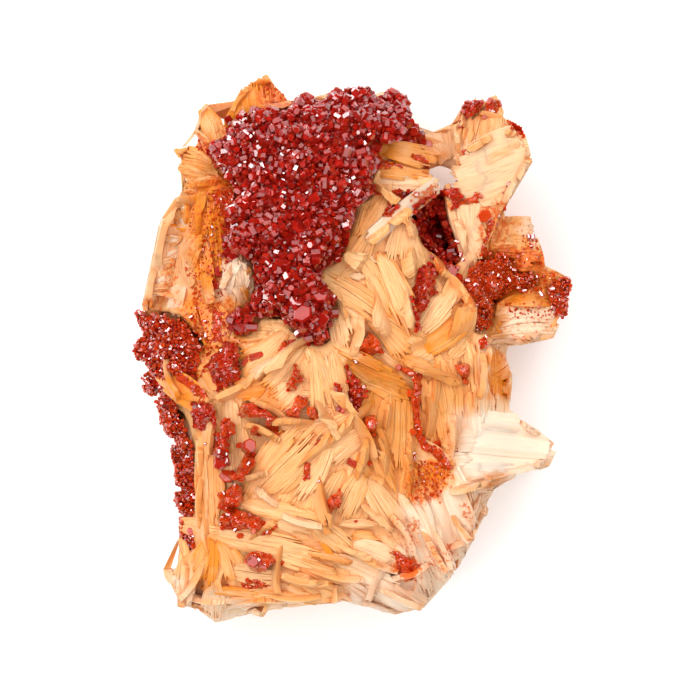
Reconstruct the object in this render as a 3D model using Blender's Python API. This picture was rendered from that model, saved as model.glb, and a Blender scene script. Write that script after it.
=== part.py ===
"""Vanadinite on barite: a hand-sized mineral specimen lying on the flat cut of its underside.

Lengths are millimetres, turned into metres where a mesh is made. +Z is up, +Y is the long way of
the stone. The pale barite grew as one piece, and each patch of red vanadinite is a piece that sits
in its own pocket of the barite, a small gap away from it.
"""

import math
import random

import bmesh
import bpy
from mathutils import Matrix, Vector

MM = 0.001
SEAT_GAP = 0.3
SEED = 7

# The barite body.
BODY_CENTRE = (-3.0, -1.0)
RIM_HEIGHT = 18.0
BODY_OUTLINE = [
    (-24, 46), (-29, 39), (-34, 31), (-38.5, 20), (-41.7, 9), (-41, -2), (-37, -11), (-34, -20),
    (-33.6, -28), (-32.6, -35.5), (-33.6, -43), (-34, -50), (-27, -54.4), (-19, -52.4), (-8, -51),
    (-1, -50.2), (8, -53), (14.5, -51.5), (21.5, -43.5), (26, -34), (30.5, -22), (31.5, -12), (32, -5),
    (30, 1), (30, 10), (27, 21), (22, 27.3), (17.5, 31), (15, 35.5), (13, 43), (11, 47), (9.4, 50.4),
    (6.8, 51.4), (4.2, 50.4), (-5, 51), (-13, 47.4),
]
# How far each ring of the body lies inside the outline, and its height over the cut underside.
SIDE_RINGS = [(14.0, -2.0), (6.0, 4.5), (1.8, 11.0), (0.0, RIM_HEIGHT)]
# How far each upper ring lies inside the outline, and how far under the crown surface it is.
SHOULDER_RINGS = [(1.6, 5.0), (5.5, 1.2)]
CROWN_RINGS = [0.62, 0.3]
SIDE_ROUGHNESS = 1.7
# The shoulder stays over the rim, and a swelling of the crown fades out this far from the outline.
LOWEST_SHOULDER = RIM_HEIGHT + 0.6
SWELLING_FADE = 4.0
# The underside is cut off flat at height 0 over this outline.
SAW_CUT = [(-60, -70), (60, -70), (60, 70), (-60, 70)]
SAW_REACH = -20.0
# A height over everything, where pocket and clipping columns end.
SKY = 80.0
# A pocket's wall is set back by the seat gap, and at a sharp corner by no more than twice that.
SHARPEST_CORNER = 0.5
CROWN_REACH = 8.5
FAR_WEIGHT = 1e-9
# Heights that the crown surface passes near.
CROWN_POINTS = [
    (-12, 36, 37.5), (-18, 26, 36.5), (-3, 44, 35), (-10, 20, 36), (-6, 8, 34.5), (5, 30, 33),
    (10, 22, 31.5), (3, 12, 34), (13, 8, 31), (15, 36, 26), (22, 12, 26), (27, 20, 23),
    (20, 0, 30), (10, -6, 33), (-4, -8, 35), (-16, -6, 34.5), (-28, -6, 31.5), (-36, 0, 26),
    (-40, 8, 22), (-35, 20, 26), (-28, 30, 30), (-25, 42, 27), (0, -24, 33.5), (-14, -24, 34),
    (-28, -26, 31), (-34, -32, 25), (-26, -42, 28), (-12, -40, 31), (2, -40, 30), (13, -32, 28.5),
    (14, -46, 24), (22, -30, 25.5), (26, -14, 26.5), (31, -10, 22), (28, 2, 24), (-30, -50, 23),
    (-8, -49, 25), (8, -50, 23), (10, 48, 30),
]

# Sheaves of barite blades: start, end, width, and how far the crest stands over the crown surface.
SHEAVES = [
    ((5, 41), (17.5, 37.2), 4.2, 1.6), ((3.5, 34), (17, 33.5), 4.6, 1.6),
    ((16, 32.5), (3.5, 21), 3.0, 2.2), ((-1.5, 14.5), (7.5, 31), 6.4, 1.6),
    ((8, 27), (12, 12.5), 6.0, 1.5), ((6, 20), (13.8, 1), 4.8, 2.6), ((3, 15), (8, 7), 3.0, 1.7),
    ((-7, 14), (13, 1.5), 5.2, 1.5), ((-3, 9), (-1, -3), 4.0, 1.3), ((1, 8), (1.4, 1.5), 2.6, 1.8),
    ((-4, 0.6), (8, -5), 2.2, 2.4), ((0, -3.5), (13, -9), 6.0, 1.5), ((9.5, -2.6), (17, -5), 3.0, 1.7),
    ((12, 2), (22.5, 12), 5.0, 2.2), ((14, 0.5), (24.5, 8), 3.2, 1.6), ((15, -1), (23, 4.5), 2.8, 1.2),
    ((16, -3), (15.8, -21), 4.2, 1.4), ((20, 0), (19.4, -24), 4.0, 1.7),
    ((23, -2), (22.6, -13), 3.6, 1.3), ((26, 5), (25.6, -12), 3.4, 1.6),
    ((6.5, -8), (6.2, -27), 4.0, 1.3), ((10.6, -8), (11.2, -27), 4.2, 1.6),
    ((-20, -28), (1, -12.5), 7.8, 1.8), ((-8.5, 0.5), (-4.2, -13.5), 5.0, 1.5),
    ((-4.5, 0), (-0.6, -13), 3.8, 1.2), ((-22, -9), (-11, 0), 5.0, 1.7), ((-21, -2.4), (-12, 4.4), 4.0, 1.4),
    ((-22, -2.5), (-17.5, -5.2), 2.4, 2.0), ((-24.5, -7.5), (-15, -12.5), 3.4, 2.0),
    ((-36, -5.5), (-28.5, -9.5), 6.4, 1.4), ((-29.6, -17), (-29.4, -36), 3.6, 1.4),
    ((-26.6, -12), (-26.2, -34), 3.2, 1.2), ((-27, -35), (-31.2, -46), 3.6, 1.7),
    ((-27, -36), (-27.4, -48), 3.4, 1.9), ((-26.5, -36), (-23, -47), 3.4, 1.5),
    ((-32.6, -38), (-33.6, -51), 3.0, 1.2), ((-23, -30), (-5, -34.2), 5.0, 1.5),
    ((-30, -35.4), (-3, -42), 5.0, 1.8), ((-22, -39), (0, -45), 4.8, 1.3),
    ((-25, -43.2), (-8, -46), 3.6, 1.5), ((-29, -49), (-3, -49.4), 3.6, 1.2),
    ((-5.6, -21), (-5.4, -34), 5.0, 1.3), ((-3, -34), (3, -19), 4.0, 1.6),
    ((1.5, -26), (12, -40), 5.0, 1.8), ((-8, -34), (8, -43), 5.0, 1.4), ((5, -30), (12.5, -45), 4.6, 1.3),
    ((12, -28), (19, -44), 5.0, 1.6), ((4, -46.5), (14, -51), 3.8, 1.0), ((17.5, -26), (23.5, -38), 4.4, 1.4),
    ((-38.4, 11), (-36.4, 25), 5.4, 1.4), ((-28, 33), (-27.4, 9), 6.6, 1.6), ((-33, 9.5), (-30, 0), 4.6, 1.6),
    ((-29, 10), (-21, -2), 5.4, 1.6), ((-33, 30), (-31, 14), 4.0, 1.2),
]
SHEAF_ROOT_DEPTH = 3.2
SHEAF_GROOVE = 0.9
SHEAF_TIP = 0.55
SHEAF_FOOT = 0.9
# A sheaf's two ends: the share of its length, of its crest and of its width.
SHEAF_ENDS = [(0.0, 0.4, 1.0), (1.0, 1.0, SHEAF_TIP)]
# A sheaf wider than this has three ridges, and a narrower one two.
WIDE_SHEAF = 4.9
# The share of the facets that the barite keeps when it is simplified.
MATRIX_DETAIL = 0.3
FLAT_ANGLE = math.radians(0.5)

# Plates that stand out past the body: outline, height at the point nearest the body and at the tip
# line, thickness, and how far the lower face is drawn in.
PLATES = {
    "top_blade": dict(
        outline=[(-25, 45), (-23.8, 46.8), (-22, 51), (-20.5, 53), (-17.5, 54.2), (-16.5, 54),
                 (-15, 51.5), (-11.5, 48.3), (-12, 43), (-18, 40), (-24, 41)],
        inner=((-18, 41), 29.0), outer=((-19, 54), 23.5), thick=9.0, draw=2.5),
    "left_blades": dict(
        outline=[(-30, 31), (-33.3, 35), (-35, 35.7), (-33.8, 37.4), (-35, 39.7), (-31, 40.3),
                 (-31, 43.2), (-29.7, 45), (-30.1, 47.3), (-28.8, 48.5), (-25.3, 45.5), (-22, 40), (-25, 32)],
        inner=((-25, 37), 27.5), outer=((-34, 42), 21.5), thick=9.0, draw=2.2),
    "right_plate": dict(
        outline=[(11, 41), (13, 43.6), (15.5, 42.4), (17.5, 43), (19.6, 43.9), (20.1, 45.3), (21.3, 44.2),
                 (24, 44), (25, 37), (21.7, 34), (18.9, 35.9), (15.9, 36), (12, 35)],
        inner=((12, 39), 23.0), outer=((24, 40), 21.0), thick=7.0, draw=1.0),
    "upper_fin": dict(
        outline=[(21.2, 43.8), (22.3, 47.5), (23, 49), (25.5, 49.6), (28, 50.2), (29.6, 48.6), (31, 45),
                 (33.8, 43.3), (34.6, 41), (31, 36), (23, 36), (21.3, 38.5)],
        inner=((27, 36), 29.5), outer=((27, 50), 25.5), thick=8.0, draw=2.0),
    "big_fin": dict(
        outline=[(21.2, 32.6), (21.4, 38), (24, 40.6), (30, 43), (34.2, 42), (35, 39.5), (34.9, 35),
                 (32, 30.5), (30.3, 27.6), (27.4, 22), (25.4, 16), (22, 15), (21.4, 20), (20.2, 24),
                 (18.8, 27.4), (20.6, 29.8)],
        inner=((22, 25), 26.0), outer=((33, 38), 31.0), thick=11.0, draw=2.2),
    "tan_blade": dict(
        outline=[(25, 27), (31.3, 26.7), (32, 25.7), (36.3, 26.2), (37, 25.5), (37, 22), (38.2, 18.5),
                 (38.5, 15), (28, 12), (22, 16)],
        inner=((25, 20), 24.0), outer=((38, 22), 20.0), thick=9.0, draw=3.0),
    "right_slab": dict(
        outline=[(24, 17), (31, 18), (38.5, 16.5), (41.2, 15.2), (41.4, 13), (43.6, 12.5), (43, 9.5),
                 (42.8, 7.5), (41.2, 3.8), (40, 2.4), (36, 2), (32.5, 0.8), (28, 0.7), (22, 2)],
        inner=((25, 9), 22.0), outer=((43, 8), 17.0), thick=11.0, draw=3.4),
    "white_wedge": dict(
        outline=[(20, -11), (31, -11.6), (33, -13.5), (36.5, -16), (40.8, -19), (41, -20.5), (39.5, -23),
                 (35, -25), (29.5, -26.5), (20, -29)],
        inner=((22, -20), 27.0), outer=((41, -20), 18.5), thick=12.0, draw=4.0),
}

# The pale knob that stands in the bay of the main cluster.
KNOB_FROM = (-23.6, 11.0)
KNOB_TO = (-20.8, 17.4)
KNOB_WIDTH = 5.6
KNOB_LIFT = 4.2

# Loose blades on the flanks, set round the body by a rule.
FLANK_BLADES = 23
FLANK_HEIGHTS = (5.5, 16.0)
FLANK_LENGTHS = (9.0, 16.0)
FLANK_WIDTHS = (4.0, 7.0)
FLANK_STAND = 3.0
# How far inside the outline a blade's middle lies: at the rim, and how much more at the cut underside.
FLANK_INSET = 1.7
FLANK_UNDERCUT = 6.0
FLANK_CURVE = 1.3
# How steeply a blade rises, its most length per millimetre of height, and how far it faces down.
FLANK_RISE = (0.2, 1.6)
FLANK_REACH = 1.3
FLANK_DOWNWARD = -8.0
# The section of a flank blade: the share of its half width, and the rise, which is in millimetres
# where it is below the face of the stone and in shares of the stand where it is above.
FLANK_SECTION = [(-1.0, -0.6), (-0.2, 1.0), (0.5, 0.7), (1.0, -0.6), (0.0, -3.0)]

# The cleft: a deep slot in the barite, lined with dark crystals.
CLEFT = [
    (13.6, 28), (16.4, 29.6), (18.2, 29.2), (19, 27.2), (20.2, 23), (21.6, 20), (21, 17.2),
    (18.6, 16.8), (16, 19.6), (13.8, 22), (12.2, 25.6),
]
CLEFT_FLOOR = 12.5
CLEFT_LINING_TOP = 23.0
CLEFT_LINING = 1.4
CLEFT_INNER = 0.7
# Crystals stand on the cleft's floor in two rings, the inner one this share of the outline's size.
CLEFT_HEART = 0.45
CLEFT_CRYSTAL_FOOT = CLEFT_FLOOR + 0.6
CLEFT_CRYSTAL_RADII = (0.9, 1.5)
CLEFT_CRYSTAL_LENGTHS = (3.0, 8.0)
CLEFT_CRYSTAL_LEAN = 0.4

# The gap between the plate and the great fin, which goes right through the stone.
THROUGH_GAP = [(15.9, 35.7), (18.4, 35.9), (19.5, 33.9), (21.3, 32.9), (20.9, 32.3), (19.2, 32.2), (17.3, 34)]

# Where each crust of vanadinite lies, seen from above, and the floor of its pocket.
MAIN_CLUSTER = [
    (-12, 48.2), (-11.5, 56), (12, 58), (17, 48), (15, 42.4), (14.4, 40.6), (9, 41), (5, 41.5), (3.6, 39),
    (4.8, 36.5), (3.5, 34), (3.8, 30.6), (0.6, 28.6), (-0.3, 25), (-1.5, 20.5), (-3, 17.5), (-6, 16.6),
    (-7, 13.6), (-3.5, 10), (-3.4, 7), (-4.8, 2), (-6.5, 1.2), (-9.5, 2.4), (-12, 5), (-14, 6.8),
    (-18.6, 6.6), (-20, 3.6), (-22.5, 3.2), (-24, 6.5), (-19.6, 8.6), (-18.2, 12), (-18.6, 17.6), (-22, 19.6),
    (-25, 18.6), (-24.5, 24), (-22.3, 29), (-22, 32), (-25.5, 35), (-28, 39.5), (-25, 44), (-21, 46.5),
    (-18.5, 48), (-15, 47),
]
MAIN_CLUSTER_FLOOR = 25.0
MAIN_CROWN = [
    (-11, 46.8), (-11, 54), (10, 56), (15.5, 47.5), (13.2, 42.4), (4.4, 43), (2.2, 39), (2.2, 30.8),
    (-1.6, 27), (-3, 21), (-5, 18.4), (-8.4, 17), (-8.4, 13), (-5.2, 9.6), (-5, 6.6), (-6.6, 3.4),
    (-9.6, 4.8), (-14, 8.8), (-16.4, 9.2), (-16.6, 18.8), (-21.4, 21.4), (-22.6, 24.6), (-20.6, 28.6),
    (-20.4, 32.6), (-24, 36), (-26.2, 39.5), (-23.4, 43), (-20, 45.2), (-14, 45.6),
]
# The low step and the raised crown of the cluster: height over the crown surface, and how far
# each lies inside the body's outline.
MAIN_CLUSTER_STEP = (0.8, 1.4)
MAIN_CLUSTER_BULGE = (5.4, 1.0)
MAIN_CLUSTER_ROOT = MAIN_CLUSTER_FLOOR - 4.0
LEFT_DRUSE = [
    (-46, 8.2), (-40, 6.8), (-36, 6.5), (-33, 5.5), (-31, 3), (-29.5, 0), (-30.5, -6.6), (-34, -5),
    (-36.8, -6.5), (-35.4, -10), (-33, -15), (-31.4, -19), (-31, -27), (-31.4, -34), (-31.2, -39.2),
    (-34, -40.6), (-39, -32), (-40, -22), (-44, -12), (-48, -2),
]
LEFT_DRUSE_FLOOR = 13.0

RIGHT_DRUSE = [
    (23.4, 15.6), (25.6, 17.4), (28.4, 18.6), (31.6, 19.2), (32.4, 15), (36.5, 14.6), (37.6, 11.2),
    (32, 11.8), (28.4, 9.6), (27.6, 4), (25, 3.4), (23.4, 6.6), (24.4, 9.6), (22.6, 12),
]
RIGHT_DRUSE_FLOOR = 15.0
SLAB_DRUSE = [(39.4, 12.4), (41.4, 15.6), (43.8, 14), (43.8, 6), (41.4, 7.0), (39.6, 9)]
SLAB_DRUSE_FLOOR = 10.0

# How far apart the crystals of a crust stand, and their smallest and largest radius.
CRUST_CRYSTALS = {
    "vanadinite_main_cluster": (4.7, (1.9, 2.7)),
    "vanadinite_left_druse": (4.6, (1.7, 2.4)),
    "vanadinite_right_druse": (3.4, (1.3, 1.8)),
    "vanadinite_slab_druse": (3.2, (1.2, 1.6)),
}
POCKETS = {
    "vanadinite_main_cluster": (MAIN_CLUSTER, MAIN_CLUSTER_FLOOR),
    "vanadinite_left_druse": (LEFT_DRUSE, LEFT_DRUSE_FLOOR),
    "vanadinite_right_druse": (RIGHT_DRUSE, RIGHT_DRUSE_FLOOR),
    "vanadinite_slab_druse": (SLAB_DRUSE, SLAB_DRUSE_FLOOR),
    "vanadinite_cleft_crust": (CLEFT, CLEFT_FLOOR),
}

# Crystals of the crusts: how deep they start, how far they lean, and how far they stand out per radius.
CRYSTAL_SINK = 1.6
CRYSTAL_LEAN = 0.55
CRYSTAL_STAND = (0.5, 1.3)
# Where a crust's crystals may start: how many places are tried, how steeply a face may look down,
# and how far a place keeps from the pocket's wall and floor.
CRYSTAL_TRIES = 6000
STEEPEST_OVERHANG = -0.35
UPRIGHT = 0.2
WALL_WIDTH = 0.15
WALL_MARGIN = 0.7
FLOOR_MARGIN = 1.0
GROUP_SINK = 2.2
GROUP_LIFT = 1.3
VEIN_OVERLAP = 0.5

# Groups of crystals that sit on their own in the barite: each row is a crystal's place, radius,
# stand over the blades and lean toward +X and +Y. On a plate the height of the place comes second.
GROUPS = {
    "vanadinite_west_patch": [
        ((-23.6, -1.2), 2.0, 1.6, (0.2, 0.2)), ((-25.6, -3.4), 1.9, 1.8, (-0.2, 0.1)),
        ((-23.6, -4.6), 1.8, 1.4, (0.2, -0.3))],
    "vanadinite_west_chain": [
        ((-28.4, -12.2), 2.0, 1.3, (-0.2, 0.1)), ((-25.2, -14.2), 2.2, 1.5, (0.1, 0.2)),
        ((-24.2, -17.4), 2.0, 1.4, (0.2, 0.0)), ((-25.4, -20.6), 2.0, 1.8, (0.0, -0.2))],
    "vanadinite_middle_patch": [
        ((-19.6, -12.0), 1.8, 1.6, (-0.2, 0.2)), ((-16.6, -13.4), 2.0, 1.8, (0.1, 0.1)),
        ((-19.2, -14.8), 1.9, 1.6, (-0.2, -0.2))],
    "vanadinite_centre_tuft": [
        ((-10.6, -12.0), 1.6, 1.4, (-0.2, 0.0)), ((-8.4, -12.2), 1.4, 1.2, (0.2, 0.1))],
    "vanadinite_arrow": [((-11.1, -4.8), 1.1, 1.4, (0.1, 0.2)), ((-11.3, -6.6), 1.3, 1.3, (0.0, -0.2))],
    "vanadinite_lone_crystal_west": [((-20.0, -19.0), 1.5, 1.8, (0.1, 0.0))],
    "vanadinite_south_chain": [
        ((-20.2, -23.0), 1.6, 1.3, (0.1, 0.2)), ((-21.8, -26.0), 1.9, 1.6, (0.0, 0.1)),
        ((-23.4, -29.0), 2.1, 1.8, (-0.1, -0.1))],
    "vanadinite_spiky_band": [
        ((-24.4, -33.2), 1.5, 1.7, (-0.3, 0.1)), ((-22.0, -33.8), 1.6, 1.8, (0.1, 0.3)),
        ((-19.4, -34.7), 1.5, 1.4, (0.3, 0.0))],
    "vanadinite_south_rosette": [
        ((-19.2, -41.8), 2.0, 2.2, (-0.1, 0.2)), ((-16.8, -42.6), 1.5, 1.5, (0.3, -0.1))],
    "vanadinite_south_heart": [((-3.4, -29.6), 1.7, 1.5, (0.1, 0.1))],
    "vanadinite_lone_crystal_east": [((3.8, -14.8), 1.5, 1.7, (0.1, 0.2))],
    "vanadinite_heart": [
        ((2.6, 1.4), 1.6, 1.5, (-0.2, 0.1)), ((4.4, 1.2), 1.7, 1.6, (0.2, 0.2))],
    "vanadinite_dark_pocket": [((0.8, -5.6), 1.5, 1.1, (0.0, 0.2)), ((1.6, -8.4), 1.7, 1.1, (0.1, -0.1))],
    "vanadinite_rose": [((22.2, -4.1), 1.4, 1.4, (0.0, 0.0))],
    "vanadinite_fin_crown": [
        ((23.8, 47.2), 25.6, 1.6, 2.2, (-0.3, 0.3)), ((26.2, 48.6), 25.2, 1.5, 1.6, (0.1, 0.3))],
}

# Veins: crystals that lie along a crack, end to end: the route, the radius and the stand.
VEINS = {
    "vanadinite_vein_top": ([(12.0, -4.4), (13.2, -12.0), (14.8, -17.8)], 0.9, 0.7),
    "vanadinite_red_strip": ([(13.2, 3.4), (13.8, 8.4), (15.8, 15.2)], 1.2, 0.8),
}

COLOURS = {
    "barite": dict(base=(0.89, 0.50, 0.24, 1.0), roughness=0.45),
    "vanadinite": dict(base=(0.36, 0.012, 0.008, 1.0), roughness=0.16),
}


def clear_scene():
    for thing in list(bpy.data.objects):
        bpy.data.objects.remove(thing, do_unlink=True)


def finish(name):
    """A plain shader for one node."""
    kind = "barite" if name == "barite_matrix" else "vanadinite"
    material = bpy.data.materials.new(name)
    material.use_nodes = True
    shader = material.node_tree.nodes["Principled BSDF"]
    shader.inputs["Base Color"].default_value = COLOURS[kind]["base"]
    shader.inputs["Roughness"].default_value = COLOURS[kind]["roughness"]
    shader.inputs["Metallic"].default_value = 0.0
    material.diffuse_color = COLOURS[kind]["base"]
    return material


def make_object(name, points, faces, flat_faces=False):
    """A closed helper solid from points in millimetres, its faces turned outward."""
    mesh = bpy.data.meshes.new(name)
    mesh.from_pydata([Vector(point) * MM for point in points], [], faces)
    build = bmesh.new()
    build.from_mesh(mesh)
    bmesh.ops.recalc_face_normals(build, faces=build.faces)
    if not flat_faces:
        bmesh.ops.triangulate(build, faces=build.faces)
    build.to_mesh(mesh)
    build.free()
    thing = bpy.data.objects.new(name, mesh)
    bpy.context.scene.collection.objects.link(thing)
    thing.hide_render = True
    thing.display_type = "WIRE"
    return thing


def loft(name, rings, flat_faces=False):
    """Rings of equally many points, joined up and closed at both ends."""
    count = len(rings[0])
    points = [point for ring in rings for point in ring]
    faces = [list(range(count)), [len(points) - count + place for place in range(count)]]
    for level in range(len(rings) - 1):
        for place in range(count):
            after = (place + 1) % count
            low = level * count
            high = low + count
            faces.append([low + place, low + after, high + after, high + place])
    return make_object(name, points, faces, flat_faces)


def combine(target, tools, operation):
    """The target joined with, cut by or kept inside other solids, and those solids removed."""
    for tool in tools:
        step = target.modifiers.new("join", "BOOLEAN")
        step.object = tool
        step.operation = operation
        step.solver = "EXACT"
        bpy.context.view_layer.update()
        done = bpy.data.meshes.new_from_object(target.evaluated_get(bpy.context.evaluated_depsgraph_get()))
        target.modifiers.clear()
        target.data = done
        bpy.data.objects.remove(tool, do_unlink=True)
    return target


def crown_height(x, y):
    """Height of the barite's crown surface, before blades and crystals are set on it."""
    total = 0.0
    weights = 0.0
    for px, py, pz in CROWN_POINTS:
        weight = math.exp(-((x - px) ** 2 + (y - py) ** 2) / (2 * CROWN_REACH ** 2)) + FAR_WEIGHT
        total += weight * pz
        weights += weight
    return total / weights


def drawn_in(point, inset):
    """An outline point moved toward the middle of the body."""
    offset = Vector((point[0] - BODY_CENTRE[0], point[1] - BODY_CENTRE[1]))
    offset *= 1 - inset / offset.length
    return BODY_CENTRE[0] + offset.x, BODY_CENTRE[1] + offset.y


def body_solid(name, bulge=0.0, shrink=0.0):
    """The lump of the body: undercut sides, a shoulder, and a crown that follows crown_height."""
    chance = random.Random(SEED)
    rings = []
    for inset, height in SIDE_RINGS:
        ring = []
        for point in BODY_OUTLINE:
            rough = chance.uniform(-SIDE_ROUGHNESS, SIDE_ROUGHNESS) if 0 < height < RIM_HEIGHT else 0.0
            x, y = drawn_in(point, inset + rough + shrink)
            ring.append((x, y, height + (chance.uniform(-SIDE_ROUGHNESS, SIDE_ROUGHNESS) if rough else 0.0)))
        rings.append(ring)
    for inset, drop in SHOULDER_RINGS:
        ring = []
        for point in BODY_OUTLINE:
            x, y = drawn_in(point, inset + shrink)
            top = crown_height(x, y) + bulge * min(inset / SWELLING_FADE, 1) - drop
            ring.append((x, y, max(top, LOWEST_SHOULDER)))
        rings.append(ring)
    for share in CROWN_RINGS:
        ring = []
        for point in BODY_OUTLINE:
            x = BODY_CENTRE[0] + (point[0] - BODY_CENTRE[0]) * share
            y = BODY_CENTRE[1] + (point[1] - BODY_CENTRE[1]) * share
            ring.append((x, y, crown_height(x, y) + bulge))
        rings.append(ring)
    return loft(name, rings)


def sheaf_solid(name, start, end, width, crest, height=crown_height):
    """A book of blades: long grooves on top, its root sunk in the stone, its tip tapered."""
    start = Vector(start)
    end = Vector(end)
    across = Vector((start.y - end.y, end.x - start.x)).normalized()
    ridges = 3 if width > WIDE_SHEAF else 2
    rings = []
    for share, lift, narrow in SHEAF_ENDS:
        middle = start.lerp(end, share)
        half = width * narrow / 2
        ground = height(middle.x, middle.y)
        ring = []
        for place in range(2 * ridges + 1):
            side = (place / ridges - 1) * half
            top = ground + crest * lift - (0 if place % 2 else SHEAF_GROOVE)
            ring.append((middle.x + across.x * side, middle.y + across.y * side, top))
        for side in (half * SHEAF_FOOT, -half * SHEAF_FOOT):
            ring.append((middle.x + across.x * side, middle.y + across.y * side, ground - SHEAF_ROOT_DEPTH))
        rings.append(ring)
    return loft(name, rings)


def plate_solid(name, outline, inner, outer, thick, draw):
    """A plate whose top slopes from the inner place to the outer one, its lower face drawn in."""
    (inner_x, inner_y), inner_z = inner
    (outer_x, outer_y), outer_z = outer
    way = Vector((outer_x - inner_x, outer_y - inner_y))
    centre = Vector((sum(p[0] for p in outline), sum(p[1] for p in outline))) / len(outline)
    top = []
    foot = []
    for x, y in outline:
        share = Vector((x - inner_x, y - inner_y)).dot(way) / way.length_squared
        z = inner_z + (outer_z - inner_z) * share
        top.append((x, y, z))
        offset = Vector((x, y)) - centre
        offset *= 1 - draw / offset.length
        foot.append((centre.x + offset.x, centre.y + offset.y, z - thick))
    return loft(name, [foot, top])


def grown(outline, distance):
    """The outline with every side moved outward by a distance."""
    turn = sum(a[0] * b[1] - b[0] * a[1] for a, b in zip(outline, outline[1:] + outline[:1]))
    sign = 1 if turn > 0 else -1
    result = []
    for place, point in enumerate(outline):
        before = Vector(outline[place - 1])
        here = Vector(point)
        after = Vector(outline[(place + 1) % len(outline)])
        first = (here - before).normalized()
        second = (after - here).normalized()
        normal = Vector((first.y + second.y, -first.x - second.x)).normalized() * sign
        stretch = max(normal.dot(Vector((first.y, -first.x)) * sign), SHARPEST_CORNER)
        moved = here + normal * (distance / stretch)
        result.append((moved.x, moved.y))
    return result


def column(name, outline, low, high):
    """An upright prism over an outline, between two heights."""
    return loft(name, [[(x, y, z) for x, y in outline] for z in (low, high)], flat_faces=True)


def crystal(name, place, axis, radius, length, spin=0.0):
    """A six-sided crystal that starts at a place and runs along an axis."""
    axis = Vector(axis).normalized()
    turn = axis.to_track_quat("Z", "Y").to_matrix() @ Matrix.Rotation(spin, 3, "Z")
    rings = []
    for reach in (0.0, length):
        ring = []
        for side in range(6):
            angle = side * math.pi / 3
            local = Vector((radius * math.cos(angle), radius * math.sin(angle), reach))
            ring.append(tuple(Vector(place) + turn @ local))
        rings.append(ring)
    return loft(name, rings, flat_faces=True)


def edge_distance(x, y, outline):
    """Distance in plan from a place to the nearest side of an outline."""
    here = Vector((x, y))
    best = math.inf
    for a, b in zip(outline, outline[1:] + outline[:1]):
        first = Vector(a)
        side = Vector(b) - first
        share = max(0.0, min(1.0, (here - first).dot(side) / side.length_squared))
        best = min(best, (here - first - side * share).length)
    return best


def spots_on(lump, outline, spacing, chance, lowest):
    """Evenly spread spots on the open faces of a lump, each with the way that its face looks."""
    faces = []
    for polygon in lump.data.polygons:
        corners = [lump.data.vertices[i].co / MM for i in polygon.vertices]
        middle = sum(corners, Vector()) / len(corners)
        on_wall = edge_distance(middle.x, middle.y, outline) < WALL_WIDTH and abs(polygon.normal.z) < UPRIGHT
        if polygon.normal.z > STEEPEST_OVERHANG and middle.z > lowest + FLOOR_MARGIN / 2 and not on_wall:
            faces.append((corners, polygon.normal.copy(), polygon.area))
    spots = []
    areas = [area for _, _, area in faces]
    for corners, normal, _ in chance.choices(faces, weights=areas, k=CRYSTAL_TRIES):
        a, b = sorted((chance.random(), chance.random()))
        spot = corners[0] * a + corners[1] * (b - a) + corners[2] * (1 - b)
        if edge_distance(spot.x, spot.y, outline) < WALL_MARGIN or spot.z < lowest + FLOOR_MARGIN:
            continue
        if all((spot - other).length > spacing for other, _ in spots):
            spots.append((spot, normal))
    return spots


def main_cluster_ground():
    """The swelling that the main cluster covers: a low step that fills the pocket, and a raised crown."""
    step = body_solid("step", *MAIN_CLUSTER_STEP)
    raised = body_solid("raised", *MAIN_CLUSTER_BULGE)
    combine(raised, [column("clip", MAIN_CROWN, MAIN_CLUSTER_ROOT, SKY)], "INTERSECT")
    return combine(step, [raised], "UNION")


def crust(ground, name):
    """A crust of crystals in one solid, on the ground's shape and clipped to the pocket that it grew in."""
    outline, floor = POCKETS[name]
    spacing, radii = CRUST_CRYSTALS[name]
    chance = random.Random(SEED + len(outline))
    lump = ground.copy()
    lump.data = ground.data.copy()
    lump.name = name
    bpy.context.scene.collection.objects.link(lump)
    combine(lump, [column("clip", outline, floor, SKY)], "INTERSECT")
    crystals = []
    for spot, normal in spots_on(lump, outline, spacing, chance, floor):
        lean = Vector([chance.uniform(-CRYSTAL_LEAN, CRYSTAL_LEAN) for _ in range(3)])
        axis = (normal + lean).normalized()
        radius = chance.uniform(*radii)
        length = CRYSTAL_SINK + radius * chance.uniform(*CRYSTAL_STAND)
        crystals.append(crystal("crystal", spot - axis * CRYSTAL_SINK, axis, radius, length, chance.random()))
    combine(lump, crystals, "UNION")
    return combine(lump, [column("clip", outline, floor, SKY)], "INTERSECT")


def simplified(thing, share):
    """Fewer, larger facets: flat neighbours are joined first, then the shortest edges go."""
    flat = thing.modifiers.new("flat", "DECIMATE")
    flat.decimate_type = "DISSOLVE"
    flat.angle_limit = FLAT_ANGLE
    split = thing.modifiers.new("split", "TRIANGULATE")
    split.quad_method = "BEAUTY"
    fewer = thing.modifiers.new("fewer", "DECIMATE")
    fewer.ratio = share
    bpy.context.view_layer.update()
    done = bpy.data.meshes.new_from_object(thing.evaluated_get(bpy.context.evaluated_depsgraph_get()))
    thing.modifiers.clear()
    thing.data = done
    return thing


def largest_piece(thing):
    """Drops chips that clipping has parted from the solid."""
    build = bmesh.new()
    build.from_mesh(thing.data)
    unseen = set(build.verts)
    islands = []
    while unseen:
        reached = [unseen.pop()]
        island = set(reached)
        while reached:
            for edge in reached.pop().link_edges:
                for vertex in edge.verts:
                    if vertex in unseen:
                        unseen.remove(vertex)
                        island.add(vertex)
                        reached.append(vertex)
        islands.append(island)
    keep = max(islands, key=len)
    bmesh.ops.delete(build, geom=[v for v in build.verts if v not in keep], context="VERTS")
    build.to_mesh(thing.data)
    build.free()


def as_node(thing, name):
    """Turns a worked solid into the named node."""
    largest_piece(thing)
    thing.name = name
    thing.hide_render = False
    thing.display_type = "TEXTURED"
    thing.data.materials.clear()
    thing.data.materials.append(finish(name))
    return thing


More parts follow.
